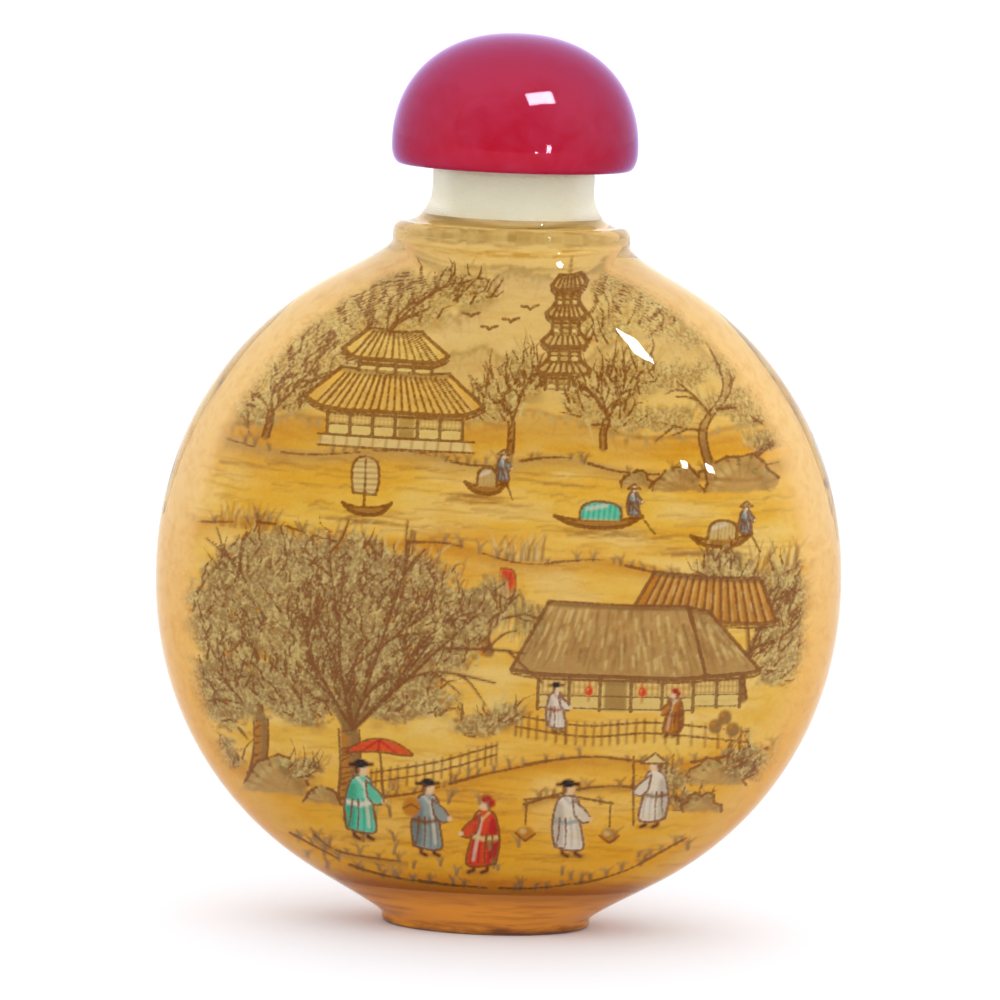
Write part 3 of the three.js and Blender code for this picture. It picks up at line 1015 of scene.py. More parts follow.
def person(face, at, height, robe, hat="cap", turn=1, load=None, trim=None):
    """A small robed walker: feet, folds, sash, sleeve, head and hat, and what is carried."""
    h = height
    dark = robe * 0.35
    pale = robe * 0.3 + WHITE * 0.7

    def spot(across, up):
        return at[0] + turn * across * h, at[1] + up * h

    def line(points, width, colour=None, strength=0.9, taper=0.1):
        face.stroke([spot(*p) for p in points], width, colour, strength, taper)

    def cloth(points, colour, strength=0.95, soft=None):
        outline = smooth([spot(*p) for p in points])
        face.fill(outline, colour, strength, soft=soft)
        return outline

    face.blot(spot(0.06, 0.0), (0.3 * h, 0.06 * h), UMBER, 0.55, soft=0.8)
    for side in (-0.07, 0.09):
        line([(side, 0.16), (side + 0.02, 0.03), (side + 0.08, 0.0)], 0.055 * h, HAIR)
    hem = [(-0.15, 0.12), (-0.19, 0.4), (-0.14, 0.7), (-0.05, 0.8), (0.07, 0.79), (0.13, 0.7)]
    body = cloth(hem + [(0.15, 0.45), (0.2, 0.11), (0.02, 0.07)], robe, 1)
    cloth([(-0.15, 0.12), (-0.19, 0.4), (-0.13, 0.7), (-0.05, 0.6), (-0.05, 0.12)], dark, 0.65, soft=0.4)
    line([(0.05, 0.68), (0.07, 0.5), (0.12, 0.16)], 0.055 * h, pale, 0.75, 0.3)
    for a, b in ((-0.1, -0.13), (-0.03, -0.02), (0.03, 0.06), (0.1, 0.15)):
        line([(a, 0.5), ((a + b) / 2 + 0.01, 0.3), (b, 0.12)], 0.17, dark if a > 0 else None, 0.8, 0.5)
    line([(-0.16, 0.46), (0.0, 0.43), (0.15, 0.47)], 0.055 * h, INK if trim is None else trim)
    line([(-0.06, 0.78), (0.03, 0.68), (0.08, 0.78)], 0.18, pale if trim is None else trim)
    face.stroke(body + body[:1], 0.19, taper=0)
    sleeve = cloth([(0.05, 0.74), (0.22, 0.6), (0.28, 0.48), (0.18, 0.44), (0.08, 0.54)], robe * 0.85)
    face.stroke(sleeve + sleeve[:1], 0.17, taper=0)
    face.blot(spot(0.28, 0.49), (0.04 * h, 0.035 * h), SKIN, 1, soft=0.4)
    face.blot(spot(0.01, 0.87), (0.08 * h, 0.09 * h), SKIN, 1.0, soft=0.4)
    face.blot(spot(-0.05, 0.87), (0.045 * h, 0.08 * h), HAIR, 0.8)
    if hat == "straw":
        cone = [spot(-0.18, 0.9), spot(0.01, 1.05), spot(0.2, 0.9)]
        face.fill(cone, STRAW, 0.97)
        face.stroke(cone + cone[:1], 0.17, taper=0)
    elif hat == "scarf":
        face.blot(spot(-0.01, 0.94), (0.1 * h, 0.075 * h), CRIMSON, 1)
        face.blot(spot(-0.09, 0.89), (0.05 * h, 0.07 * h), CRIMSON, 0.9)
    else:
        face.blot(spot(-0.01, 0.95), (0.1 * h, 0.065 * h), HAIR, 1.0, soft=0.3)
        line([(-0.14, 0.93), (0.12, 0.945)], 0.05 * h, HAIR, 1, 0)
    if load == "pole":
        line([(-0.55, 0.72), (0.0, 0.79), (0.55, 0.7)], 0.2, taper=0)
        for side in (-0.52, 0.52):
            line([(side, 0.72), (side, 0.36)], 0.15, taper=0)
            face.blot(spot(side, 0.28), (0.13 * h, 0.11 * h), RUST, 0.97, soft=0.3)
            face.blot(spot(side - 0.03, 0.31), (0.06 * h, 0.05 * h), STRAW, 0.6)
            line([(side - 0.12, 0.28), (side, 0.18), (side + 0.12, 0.28)], 0.17, taper=0)
    if load == "parasol":
        line([(0.28, 0.48), (0.2, 1.2)], 0.18, taper=0)
        rim = [(-0.22, 1.08), (-0.02, 1.22), (0.2, 1.27), (0.42, 1.22), (0.6, 1.08)]
        canopy = cloth([*rim, (0.2, 1.11)], VERMILION)
        face.stroke(canopy + canopy[:1], 0.17, taper=0)
        for k in (1, 2, 3):
            line([(0.2, 1.26), (0.205 * k - 0.22, 1.1)], 0.16, CRIMSON)
    if load == "staff":
        line([(0.3, 1.0), (0.27, 0.02)], 0.18, taper=0)
    if load == "bundle":
        face.blot(spot(-0.2, 0.62), (0.13 * h, 0.15 * h), RUST, 0.97, soft=0.3)
        line([(-0.3, 0.6), (-0.2, 0.66), (-0.1, 0.6)], 0.16, taper=0)


# The two pictures


def river_town(face):
    """The front: a wooded river bank with a temple and boats, and an inn and walkers on the near side."""
    ground(face)
    ridge(face, [(-15, 52), (-9, 56), (-4, 54.6), (0, 59), (5, 57.5), (10, 60), (15, 53)], 4, SLATE, 11, 0.35)
    ridge(face, [(-23, 46), (-17, 50), (-10, 48), (-3, 52), (4, 50), (12, 54), (20, 49)], 3.4, OLIVE, 12, 0.4)
    ridge(face, [(-25, 43), (-18, 45.5), (-8, 44.4), (2, 46.8), (12, 45), (24, 46)], 2.6, RUST, 13, 0.5)
    far_bank(face)
    geese(face, [(-1.6, 53.6), (0.2, 54.3), (1.8, 55.4), (-3.2, 54.6), (9.6, 57.6), (8.2, 58.4)])
    water(face)
    shore = [(-27, 35.4), (-20, 36.2), (-13, 34.9), (-5, 35.4), (2, 33.9), (9, 34.3), (17, 33), (27, 33.8)]
    bank(face, shore, 43, RUST, 1.5)
    ripples(face, (-20, 22, 16, 34), 110, 44, RUST, 0.55)
    inn(face)
    old_trees(face)
    near_path(face)


def far_bank(face):
    """A temple hall, a pagoda, pines and leafy trees beyond the water, under a thin haze."""
    shore = [(-26, 43.2), (-18, 42.3), (-9, 43.1), (-2, 42.2), (5, 43.1), (12, 41.9), (25, 42.6)]
    bank(face, shore, 42, OLIVE, 1.3)
    by_the_hall = [(-21.4, 46.4, 2.4, 2.2), (-18.4, 48.4, 3.2, 2.6), (-15.4, 51.0, 3.4, 2.2)]
    tree(face, (-20.4, 43.4), (-20, 45.4), by_the_hall, 0.6, 33, 11)
    over_the_roof = [(-12.2, 53.4, 3.2, 2.0), (-8.2, 55.2, 3.0, 1.9), (-3.8, 56.8, 2.6, 1.6)]
    tree(face, (-12.2, 48), (-12, 50), over_the_roof, 0.6, 34, 11)
    tree(face, (0.6, 43.4), (0.6, 46), [(-0.8, 47.8, 2.6, 2.1), (1.6, 50.0, 2.2, 1.9)], 0.6, 35, 11)
    mist(face)
    crown(face, [(9.8, 56.8, 3.0, 1.5), (12.6, 54.6, 2.6, 1.5), (8.0, 54.0, 2.4, 1.4)], (10, 50), 204, 11)
    pagoda(face, (4.9, 48.8), 4.6, 4, 2.3)
    by_the_tower = [(7.4, 48.2, 2.4, 2.1), (10.4, 49.8, 2.6, 2.2), (9.2, 46.8, 2.6, 1.4)]
    tree(face, (8.6, 44), (8.8, 46.4), by_the_tower, 0.6, 36, 11)
    walls(face, -15.2, -3.6, 44.1, 2.5, 6, door=3)
    face.fill([(-16, 43.2), (-2.6, 43.2), (-3, 44.1), (-15.6, 44.1)], STRAW, 0.92)
    for k in range(12):
        face.stroke([(-15.8 + 1.12 * k, 43.2), (-15.7 + 1.12 * k, 44.1)], 0.16, TWIG, 0.8, taper=0)
    for level in (43.2, 44.1):
        face.stroke([(-16, level), (-2.6, level)], 0.2, taper=0)
    eave, crest = ((-17.2, 46.3), (-1.8, 46.3)), ((-14.2, 49.3), (-4.8, 49.3))
    roof(face, eave, crest, DEEP_AMBER, 22, curl=0.8, seed=72)
    walls(face, -12.6, -6.4, 49.6, 1.2, 4)
    roof(face, ((-14.0, 50.6), (-5.0, 50.6)), ((-11.8, 52.7), (-7.2, 52.7)), HONEY, 13, curl=0.6, seed=74)
    upper = [(13.2, 46.6, 3.6, 1.3), (19.6, 47.6, 3.2, 1.3), (14.4, 50.0, 3.4, 1.3), (19.4, 50.6, 2.4, 1.1)]
    pine(face, (18.2, 41.5), [*upper, (16.4, 53.0, 2.8, 1.1)], 0.85, 51)
    pine(face, (22.6, 41.2), [(23.0, 44.4, 2.4, 1.0), (21.2, 46.4, 2.0, 0.9)], 0.7, 52)
    rock(face, (20.2, 40.3), (6.5, 3.0), 53)
    rock(face, (15.2, 40.4), (4.2, 2.2), 54)
    rock(face, (11.6, 40.7), (2.6, 1.4), 55)
    face.lay(WHOLE, ramp(face.z, 44, 54, most=0.24), PALE_HONEY)


def mist(face):
    """Broken bands of cloud and far trees under the collar."""
    bands = [(61.6, 6.6, UMBER, 205), (60.4, 6.2, RUST, 206), (58.6, 7.4, OLIVE, 207)]
    for level, half, colour, seed in bands:
        rng = random.Random(seed)
        for _ in range(26):
            u, z = rng.uniform(-half, half), level + rng.uniform(-0.5, 0.5)
            reach = rng.uniform(0.5, 1.8)
            crest = (u, z + rng.uniform(-0.2, 0.3))
            path = smooth([(u - reach, z), crest, (u + reach, z + rng.uniform(-0.2, 0.2))], 4)
            face.stroke(path, rng.uniform(0.18, 0.42), colour, rng.uniform(0.4, 0.85), taper=0.7)
    ripples(face, (-8, 8, 58, 62.4), 30, 208, PALE_HONEY, 0.9)


def geese(face, spots):
    for u, z in spots:
        face.stroke([(u - 0.7, z + 0.25), (u - 0.2, z + 0.2), (u, z)], 0.2, taper=0)
        face.stroke([(u + 0.7, z + 0.35), (u + 0.25, z + 0.2), (u, z)], 0.2, taper=0)


def water(face):
    ripples(face, (-24, 24, 35, 42), 130, 41, TWIG)
    boat(face, (8.4, 37.3), 7.6, TURQUOISE, 61)
    boat(face, (-11.6, 37.6), 4.2, STRAW, 62, sail=4.9)
    boat(face, (19.0, 35.8), 5.2, STRAW, 63)
    boat(face, (-1.4, 39.9), 3.6, STRAW, 64)
    reeds(face, (1.6, 34.2), 4.4, 2.4, 45)
    reeds(face, (23.6, 33.6), 4, 2.8, 46)
    reeds(face, (-21.6, 35.6), 5, 2.2, 47)


def inn(face):
    """A thatched riverside inn with a fenced yard and a red banner."""
    behind = [(19.4, 33.6, 2.6, 2), (23.6, 31.2, 3, 3), (24.2, 26.6, 2.4, 3.2)]
    tree(face, (21.4, 22.4), (21.8, 26.4), behind, 0.9, 32, 9)
    roof(face, ((11.5, 29.6), (24.0, 28.8)), ((13.4, 33.2), (22.6, 32.6)), RUST, 16, curl=0.3, seed=81)
    walls(face, 3.8, 17.2, 21.2, 3.3, 5, door=2)
    walls(face, 17.2, 21.2, 21.6, 3.0, 2)
    eave, crest = ((1.4, 24.3), (18.6, 24.1)), ((4.4, 30.4), (16.4, 30.2))
    roof(face, eave, crest, ROOF, 26, curl=0.3, tiled=False, seed=84)
    eave, crest = ((18.2, 24.3), (22.8, 24.7)), ((16.6, 30.2), (18.4, 29.8))
    roof(face, eave, crest, ROOF, 8, curl=0.2, tiled=False, seed=85)
    lantern(face, (8.2, 22.9))
    lantern(face, (12.8, 22.9))
    banner(face, (0.2, 28.6), 4.8)
    fence(face, [(2.0, 18.9), (8, 18.2), (14, 18.6), (22, 17.8)], 1.9, 86)
    for u, z in ((19.2, 19.9), (20.7, 19.6), (20.0, 20.7)):
        face.blot((u, z), (0.7, 0.8), UMBER, 0.95, soft=0.3)
        face.blot((u - 0.2, z + 0.25), (0.25, 0.3), RUST, 0.9)
    person(face, (5.4, 19.2), 4.4, WHITE, trim=CRIMSON)
    person(face, (15.6, 19.0), 4.3, RUST, turn=-1, hat="scarf")


def old_trees(face):
    """The broad old trees that fill the left of the picture."""
    willow(face, (-0.6, 26), (-0.4, 28.8), 3.2, 31)
    left = [(-23.2, 28.0, 3.6, 4.6), (-23.0, 21.6, 3.4, 4.0), (-20.0, 32.2, 4.2, 3.4)]
    tree(face, (-20.2, 13.6), (-20.0, 19.0), left, 1.4, 37, 7)
    masses = [
        (-17.5, 27.5, 5.2, 4.4),
        (-13.5, 32.0, 5.4, 4.0),
        (-7.6, 31.0, 4.6, 3.8),
        (-12.0, 26.0, 5.4, 4.0),
        (-5.4, 26.4, 4.4, 3.4),
        (-17.0, 21.6, 4.6, 3.2),
        (-8.4, 21.8, 4.8, 2.6),
        (-2.6, 29.0, 2.8, 2.4),
    ]
    tree(face, (-12.2, 12.6), (-12.4, 18.6), masses, 2.1, 38, 7)


def near_path(face):
    """The near path, its walkers, and the grassy edge at the foot."""
    far_edge = [(-27, 16.4), (-20, 13.8), (-14, 12.4), (-7, 13.2), (0, 15.4), (8, 17), (16, 16.6), (26, 18.4)]
    bank(face, far_edge, 91, RUST)
    rock(face, (-18.4, 12.4), (5.6, 3.2), 92)
    rock(face, (-14.6, 11.8), (3.2, 1.7), 93)
    rock(face, (19.4, 14.6), (5, 2.4), 94)
    fence(face, [(-10.4, 13.4), (-5.0, 14.6), (0.4, 16.4)], 1.7, 95)
    crown(face, [(-1.4, 19.6, 2.2, 1.1), (1.2, 20.6, 1.6, 0.9)], (0, 18), 103, 12)
    crown(face, [(15.4, 15.2, 1.8, 1.1), (22.4, 16.6, 2.8, 1.6), (17.2, 13.0, 1.6, 0.9)], (18, 12), 104, 12)
    crown(face, [(-23.6, 15.4, 2.4, 1.6), (-16.4, 14.9, 1.8, 1.0)], (-20, 12), 105, 12)
    rock(face, (18.2, 12.2), (3.2, 1.7), 106)
    bank(face, [(3, 12.6), (8, 14.2), (12.6, 14.4), (17, 13.2)], 107, UMBER, 0.8)
    bank(face, [(-15, 8.8), (-12.6, 7.4), (-7, 6.8)], 108, UMBER, 0.8)
    ripples(face, (-16, 17, 5, 15), 90, 96, RUST, 0.7)
    ripples(face, (-14, 15, 7.5, 14), 34, 97, UMBER, 0.5)
    person(face, (14.2, 10.8), 6.4, WHITE, turn=-1, load="staff", hat="straw")
    person(face, (-11.2, 8.8), 7.2, TURQUOISE, load="parasol", trim=WHITE)
    person(face, (-5.4, 7.6), 7.0, GREY_BLUE, load="bundle")
    person(face, (6.8, 8.0), 7.0, WHITE, load="pole", trim=GREY_BLUE)
    person(face, (-0.4, 6.2), 7.2, VERMILION, turn=-1, hat="scarf", trim=STRAW)
    bank(face, [(-17, 8.8), (-11, 6.1), (-4, 5.0), (4, 4.9), (11, 6.5), (17, 9.8)], 101, ORANGE, 1)
    rng = random.Random(102)
    for _ in range(34):
        tuft(face, (rng.uniform(-18, 19), rng.uniform(4.6, 14)), rng.uniform(0.5, 1.4), rng.randrange(999))


def quiet_lake(face):
    """The back: a lake between low hills, with reeds, two boats, a waterside hall and a leaning pine."""
    ground(face)
    ridge(face, [(-14, 51), (-8, 55.5), (-2, 53.6), (4, 58), (10, 55), (15, 51)], 3.8, SLATE, 111, 0.35)
    hills = [(-25, 43), (-17, 47.5), (-9, 45.5), (-1, 49.5), (8, 46.6), (17, 49), (25, 43.5)]
    ridge(face, hills, 3.4, OLIVE, 112, 0.4)
    bank(face, [(-27, 40.4), (-15, 39.6), (-4, 40.6), (8, 39.8), (26, 41)], 114, OLIVE)
    ripples(face, (-25, 25, 20, 40), 240, 113, TWIG)
    tree(face, (-19.6, 40.8), (-19.4, 43.2), [(-20.4, 45.0, 2.6, 2.3), (-17.2, 46.8, 3.0, 2.3)], 0.6, 117, 11)
    tree(face, (-4.4, 41), (-4.2, 43), [(-4.8, 45.0, 2.4, 2.0), (-2.4, 46.6, 2.4, 1.8)], 0.6, 119, 11)
    walls(face, -14.4, -6.6, 41.2, 2.2, 4, door=1)
    roof(face, ((-15.8, 43.2), (-5.2, 43.2)), ((-13.4, 46.0), (-7.6, 46.0)), ROOF, 15, curl=0.7, seed=116)
    right_of_the_hall = [(5.6, 45.0, 3.0, 2.2), (9.0, 46.2, 3.0, 2.2), (12.4, 44.6, 2.6, 1.8)]
    tree(face, (6.8, 40.8), (7.0, 43), right_of_the_hall, 0.7, 118, 11)
    boat(face, (-5.6, 30.6), 8.2, TURQUOISE, 121)
    boat(face, (8.8, 35.6), 4.6, STRAW, 122, sail=5.4)
    bank(face, [(-26, 19.6), (-17, 17.6), (-8, 14.2), (2, 13.6), (12, 16), (26, 21)], 123, RUST)
    near_tree = [(-22.2, 24.6, 4.0, 3.6), (-18.2, 28.0, 3.8, 3.2), (-22.6, 30.4, 2.8, 2.6)]
    tree(face, (-20.4, 17.8), (-20.2, 21.4), near_tree, 1.2, 124, 8)
    rock(face, (-15.2, 15.0), (6.6, 3.8), 125)
    rock(face, (-10.0, 12.6), (3.4, 1.8), 126)
    rock(face, (19.4, 17.8), (5, 2.6), 127)
    reeds(face, (-6.0, 12.8), 5.4, 4, 128)
    pads = [(9.0, 24.4, 4.6, 1.5), (17.2, 26.6, 4.8, 1.6), (10.8, 29.8, 4.6, 1.5), (18.4, 32.0, 3.6, 1.3)]
    pine(face, (15.4, 14.8), [*pads, (20.8, 22.8, 3.2, 1.3), (13.4, 34.2, 3.2, 1.1)], 1.8, 129)
    geese(face, [(-6, 52.4), (-4.4, 53.2), (-7.6, 53.4), (-3, 51.8), (-9, 54.2)])
    bank(face, [(-4, 23.4), (0, 24.6), (4, 24.8), (9, 23.2)], 132, OLIVE, 1)
    walls(face, 0.6, 5.4, 24.8, 1.8, 3, door=1)
    roof(face, ((-0.6, 26.4), (6.6, 26.4)), ((1.6, 28.6), (4.4, 28.6)), ROOF, 11, curl=0.6, seed=133)
    crown(face, [(-1.6, 25.6, 1.8, 1.3), (7.4, 25.0, 2.0, 1.3)], (3, 24), 134, 12)
    reeds(face, (-2.6, 23), 3, 2.2, 135)
    reeds(face, (20.6, 20.4), 5, 3.4, 136)
    boat(face, (-15.2, 35.2), 4.6, STRAW, 137)
    crown(face, [(-16.4, 18.2, 2.4, 1.2), (8.6, 15.6, 2.2, 1.1), (12.2, 13.4, 2.0, 1.0)], (0, 12), 138, 12)
    ripples(face, (-16, 17, 5, 14), 90, 130, RUST, 0.9)
    person(face, (9.8, 9.2), 6.2, VERMILION, turn=-1, hat="scarf", trim=STRAW)
    person(face, (3.6, 7.2), 7, WHITE, load="staff", trim=CRIMSON)
    person(face, (-3.4, 7.6), 6.6, GREY_BLUE, turn=-1, load="bundle", hat="straw")
    bank(face, [(-15, 8), (-6, 5.5), (3, 5), (12, 7), (17, 10)], 131, ORANGE, 1)


def make_film(name, face, first, last):
    """The film's mesh between two of its levels, with the brush's colours kept on its points."""
    rows = slice(first, last)
    sideways = -face.facing * face.half[rows, None] * face.shares
    grid = np.stack([sideways, face.facing * face.depth[rows], face.z[rows] * MM], axis=-1)
    points = np.arange(grid.shape[0] * grid.shape[1]).reshape(grid.shape[:2])
    corners = [points[:-1, :-1], points[:-1, 1:], points[1:, 1:], points[1:, :-1]]
    quads = np.stack(corners, axis=-1)
    obj = mesh_object(name, grid.reshape(-1, 3).tolist(), quads.reshape(-1, 4).tolist())
    colour = held(face.colour[rows].reshape(-1, 3))
    colour = np.concatenate([colour, np.ones((len(colour), 1))], axis=1)
    layers = [("pigment", "FLOAT_COLOR", "color", colour)]
    layers += [("ink", "FLOAT", "value", face.ink[rows]), ("leaf", "FLOAT", "value", face.leaf[rows])]
    for label, kind, field, values in layers:
        kept = obj.data.attributes.new(label, kind, "POINT")
        kept.data.foreach_set(field, values.ravel().astype(np.float32))
    return obj


# Materials


class Socket:
    """One value in a material's nodes. Python's operators on it add Math nodes."""

    def __init__(self, finish, output):
        self.finish = finish
        self.output = output

    def maths(self, operation, *values, clamp=False):
        settings = {"operation": operation, "use_clamp": clamp}
        return self.finish.node("ShaderNodeMath", settings, dict(enumerate(values)))

    def __add__(self, other):
        return self.maths("ADD", self, other)

    def __radd__(self, other):
        return self.maths("ADD", other, self)

    def __sub__(self, other):
        return self.maths("SUBTRACT", self, other)

    def __rsub__(self, other):
        return self.maths("SUBTRACT", other, self)

    def __mul__(self, other):
        return self.maths("MULTIPLY", self, other)

    def __rmul__(self, other):
        return self.maths("MULTIPLY", other, self)

    def __truediv__(self, other):
        return self.maths("DIVIDE", self, other)

    def clamped(self):
        return self.maths("ADD", self, 0, clamp=True)


class Finish:
    """A material's nodes, made one by one round its Principled shader."""

    def __init__(self, name):
        self.material = bpy.data.materials.new(name)
        self.material.use_nodes = True
        self.nodes = self.material.node_tree.nodes
        self.links = self.material.node_tree.links
        self.shader = next(n for n in self.nodes if n.type == "BSDF_PRINCIPLED")

    def set(self, target, name, value):
        socket = target.inputs[name]
        if isinstance(value, Socket):
            self.links.new(value.output, socket)
        elif socket.type == "RGBA":
            socket.default_value = (*value, 1)
        else:
            socket.default_value = value

    def node(self, kind, settings, inputs, output=0):
        made = self.nodes.new(kind)
        for name, value in settings.items():
            setattr(made, name, value)
        for name, value in inputs.items():
            self.set(made, name, value)
        return Socket(self, made.outputs[output])

    def stored(self, name, output="Fac"):
        return self.node("ShaderNodeAttribute", {"attribute_name": name}, {}, output)

    def place(self):
        return self.node("ShaderNodeTexCoord", {}, {}, "Object")

    def noise(self, size, detail=2, distortion=0, stretch=(1, 1, 1)):
        """Noise whose patches are about size metres wide, closer together where stretch is more than 1."""
        spot = self.node("ShaderNodeVectorMath", {"operation": "MULTIPLY"}, {0: self.place(), 1: stretch})
        inputs = {"Vector": spot, "Scale": 1 / size, "Detail": detail, "Distortion": distortion}
        return self.node("ShaderNodeTexNoise", {}, inputs)

    def bump(self, height, strength, depth):
        """A Normal that lets light see this height, strength of it, as deep as depth in metres."""
        return self.node("ShaderNodeBump", {}, {"Height": height, "Strength": strength, "Distance": depth})

    def height(self):
        """Metres above the floor."""
        return self.node("ShaderNodeSeparateXYZ", {}, {"Vector": self.place()}, 2)

    def mixed(self, share, first, second):
        """A colour between two, the second where share is 1."""
        inputs = {"Factor": share, 6: first, 7: second}
        return self.node("ShaderNodeMix", {"data_type": "RGBA"}, inputs, 2)

    def toned(self, colour, shift):
        """A colour multiplied by another."""
        settings = {"data_type": "RGBA", "blend_type": "MULTIPLY"}
        return self.node("ShaderNodeMix", settings, {"Factor": 1, 6: colour, 7: shift}, 2)

    def shade(self, **inputs):
        """Set the shader's own sockets, named with _ for a space."""
        for name, value in inputs.items():
            self.set(self.shader, name.replace("_", " "), value)
        return self.material


# Colours of the finishes, linear
DARKER_WASH = (0.9, 0.76, 0.55)
SOFTER_GLOSS = (0.35, 0.35, 0.35)
CLEAR = (0.985, 0.99, 0.98)
PALE_GREEN = (0.96, 0.99, 0.8)
# The foot's orange stain, which also stands in as a painted reflection of the paint in the foot; its browns
# are painted shade and a painted contact shadow
STAIN_AND_REFLECTION_ORANGE, STAIN_AND_REFLECTION_AMBER = (0.6, 0.22, 0.022), (0.36, 0.12, 0.016)
PAINTED_SHADE_BROWN, PAINTED_SHADOW_BROWN = (0.34, 0.115, 0.018), (0.16, 0.05, 0.018)
# The dome's pink is a painted reflection of the bright room on its top; its red is the glass's own
PINK_PAINTED_REFLECTION, RED_GLASS = (0.86, 0.08, 0.09), (0.8, 0.022, 0.03)
RUBY_GLOSS, VIOLET_COAT, VIOLET_SHEEN = (0.7, 0.6, 0.45), (0.66, 0.48, 0.88), (0.35, 0.15, 1.0)
CREAM, PALE_CREAM = (0.9, 0.91, 0.7), (0.95, 0.95, 0.8)
FLOOR_WHITE = (0.82, 0.82, 0.86)
ROOM_DARK, WHITE_WALL = (0.02, 0.02, 0.02), (1, 1, 1)

# Levels at which the stained foot's painted shadow and painted shade begin, and at which the dome's painted
# reflection fades in
SHADOW_TOP, SHADOW_FADE = 0.9 * MM, 1.1 * MM
SHADE_FOOT, SHADE_FADE, SHADE_SWAY = 2.2 * MM, 1.7 * MM, 2 * MM
RED_TOP, RED_FADE = LIP + 8 * MM, 8 * MM


def painted_finish():
    """Paint seen through the glass: brush colours, ink with rough edges, and the grain of leaves."""
    finish = Finish("paint_behind_glass")
    grain = finish.noise(0.28 * MM, detail=3)
    brush = finish.noise(1.1 * MM, detail=4, distortion=0.5, stretch=(0.35, 1, 1.3))
    pigment = finish.stored("pigment", "Color")
    ink = finish.stored("ink")
    leaf = finish.stored("leaf")
    share = ((brush - 0.45) * 2.6).clamped() * 0.8
    washed = finish.mixed(share, pigment, finish.toned(pigment, DARKER_WASH))
    dark = ((grain - 0.5) * 8).clamped() * (leaf * 0.5 + 0.06)
    pale = ((0.46 - grain) * 8).clamped() * (leaf * 0.45 + 0.08)
    leafy = finish.mixed(pale, finish.mixed(dark, washed, held(UMBER)), held(LEAF))
    edge = (ink * INK_CRISPNESS + (grain - 0.5) * 1.6 + 0.5).clamped()
    inked = finish.mixed(edge * (0.6 + grain * 0.4), leafy, held(INK))
    return finish.shade(Base_Color=inked, Roughness=0.6, Specular_IOR_Level=0.0)


def glass_finish():
    finish = Finish("clear_glass")
    sway = finish.bump(finish.noise(7 * MM), 0.12, 0.3 * MM)
    return finish.shade(
        Base_Color=CLEAR,
        Roughness=0.02,
        IOR=1.5,
        Transmission_Weight=1.0,
        Specular_Tint=SOFTER_GLOSS,
        Normal=sway,
    )


def ground_finish():
    """The ground glass of the neck, inside and out."""
    finish = Finish("ground_glass")
    grind = finish.bump(finish.noise(0.2 * MM), 0.5, 0.2 * MM)
    return finish.shade(Base_Color=PALE_GREEN, Roughness=0.3, IOR=1.5, Transmission_Weight=0.65, Normal=grind)


def foot_stain_and_painted_reflection_finish():
    """The foot, stained in the glass like the paint above it, a stain that also stands in as a painted
    reflection of that paint; browner above as painted shade that meets the shaded paint, and dark where it
    stands as a painted contact shadow.
    """
    finish = Finish("foot_stain_and_painted_reflection")
    # painted contact shadow: dark where the foot stands, with a ragged upper edge
    shadow_edge = finish.noise(1.2 * MM, detail=4, stretch=(0.5, 0.5, 2))
    height = finish.height()
    painted_shadow = ((SHADOW_TOP - height) / SHADOW_FADE + (shadow_edge - 0.45) * 2.4).clamped()
    streaks = finish.noise(1.6 * MM, detail=3, stretch=(0.3, 0.3, 3))
    stain_and_reflection = finish.mixed(((streaks - 0.5) * 4).clamped(), STAIN_AND_REFLECTION_ORANGE, STAIN_AND_REFLECTION_AMBER)
    # painted shade: browner towards the top of the foot, to meet the paint above where it lies in shade
    upper = ((height - SHADE_FOOT + (streaks - 0.5) * SHADE_SWAY) / SHADE_FADE).clamped()
    shaded = finish.mixed(upper, stain_and_reflection, PAINTED_SHADE_BROWN)
    return finish.shade(
        Base_Color=finish.mixed(painted_shadow, shaded, PAINTED_SHADOW_BROWN),
        Roughness=0.12,
        Specular_Tint=SOFTER_GLOSS,
    )


def ruby_finish():
    """Cloudy red glass, redder low down and pinker above, the pinker top a painted reflection of the bright
    room, under a thin violet coat that shows at its rim.
    """
    finish = Finish("ruby_glass")
    cloud = finish.noise(2.6 * MM, detail=5, distortion=0.8)
    height = finish.height()
    # painted reflection: pinker towards the top of the dome, redder below, with random clouds
    low = ((RED_TOP - height) / RED_FADE * 0.9 + (cloud - 0.5) * 2).clamped()
    return finish.shade(
        Base_Color=finish.mixed(low, PINK_PAINTED_REFLECTION, RED_GLASS),
        Roughness=0.05,
        IOR=1.4,
        Transmission_Weight=0.55,
        Specular_IOR_Level=0.3,
        Specular_Tint=RUBY_GLOSS,
        Coat_Weight=1.0,
        Coat_IOR=1.1,
        Coat_Roughness=0.03,
        Coat_Tint=VIOLET_COAT,
        Sheen_Weight=0.3,
        Sheen_Roughness=0.25,
        Sheen_Tint=VIOLET_SHEEN,
    )


def plastic_finish():
    finish = Finish("pale_plastic")
    speckle = finish.noise(0.9 * MM, detail=3)
    colour = finish.mixed(((speckle - 0.5) * 3).clamped(), CREAM, PALE_CREAM)
    return finish.shade(Base_Color=colour, Roughness=0.4)


# Stage


def make_floor():
    finish = Finish("white_floor")
    half = 12
    corners = [(-half, -half, 0), (half, -half, 0), (half, half, 0), (-half, half, 0)]
    floor = mesh_object("floor", corners, [(0, 1, 2, 3)])
    matt = finish.shade(Base_Color=FLOOR_WHITE, Roughness=0.9, Specular_IOR_Level=0.1)
    floor.data.materials.append(matt)


def light_room():
    world = bpy.data.worlds.new("studio")
    world.use_nodes = True
    background = world.node_tree.nodes["Background"]
    background.inputs["Color"].default_value = (*WHITE_WALL, 1)
    background.inputs["Strength"].default_value = ROOM_LIGHT
    bpy.context.scene.world = world


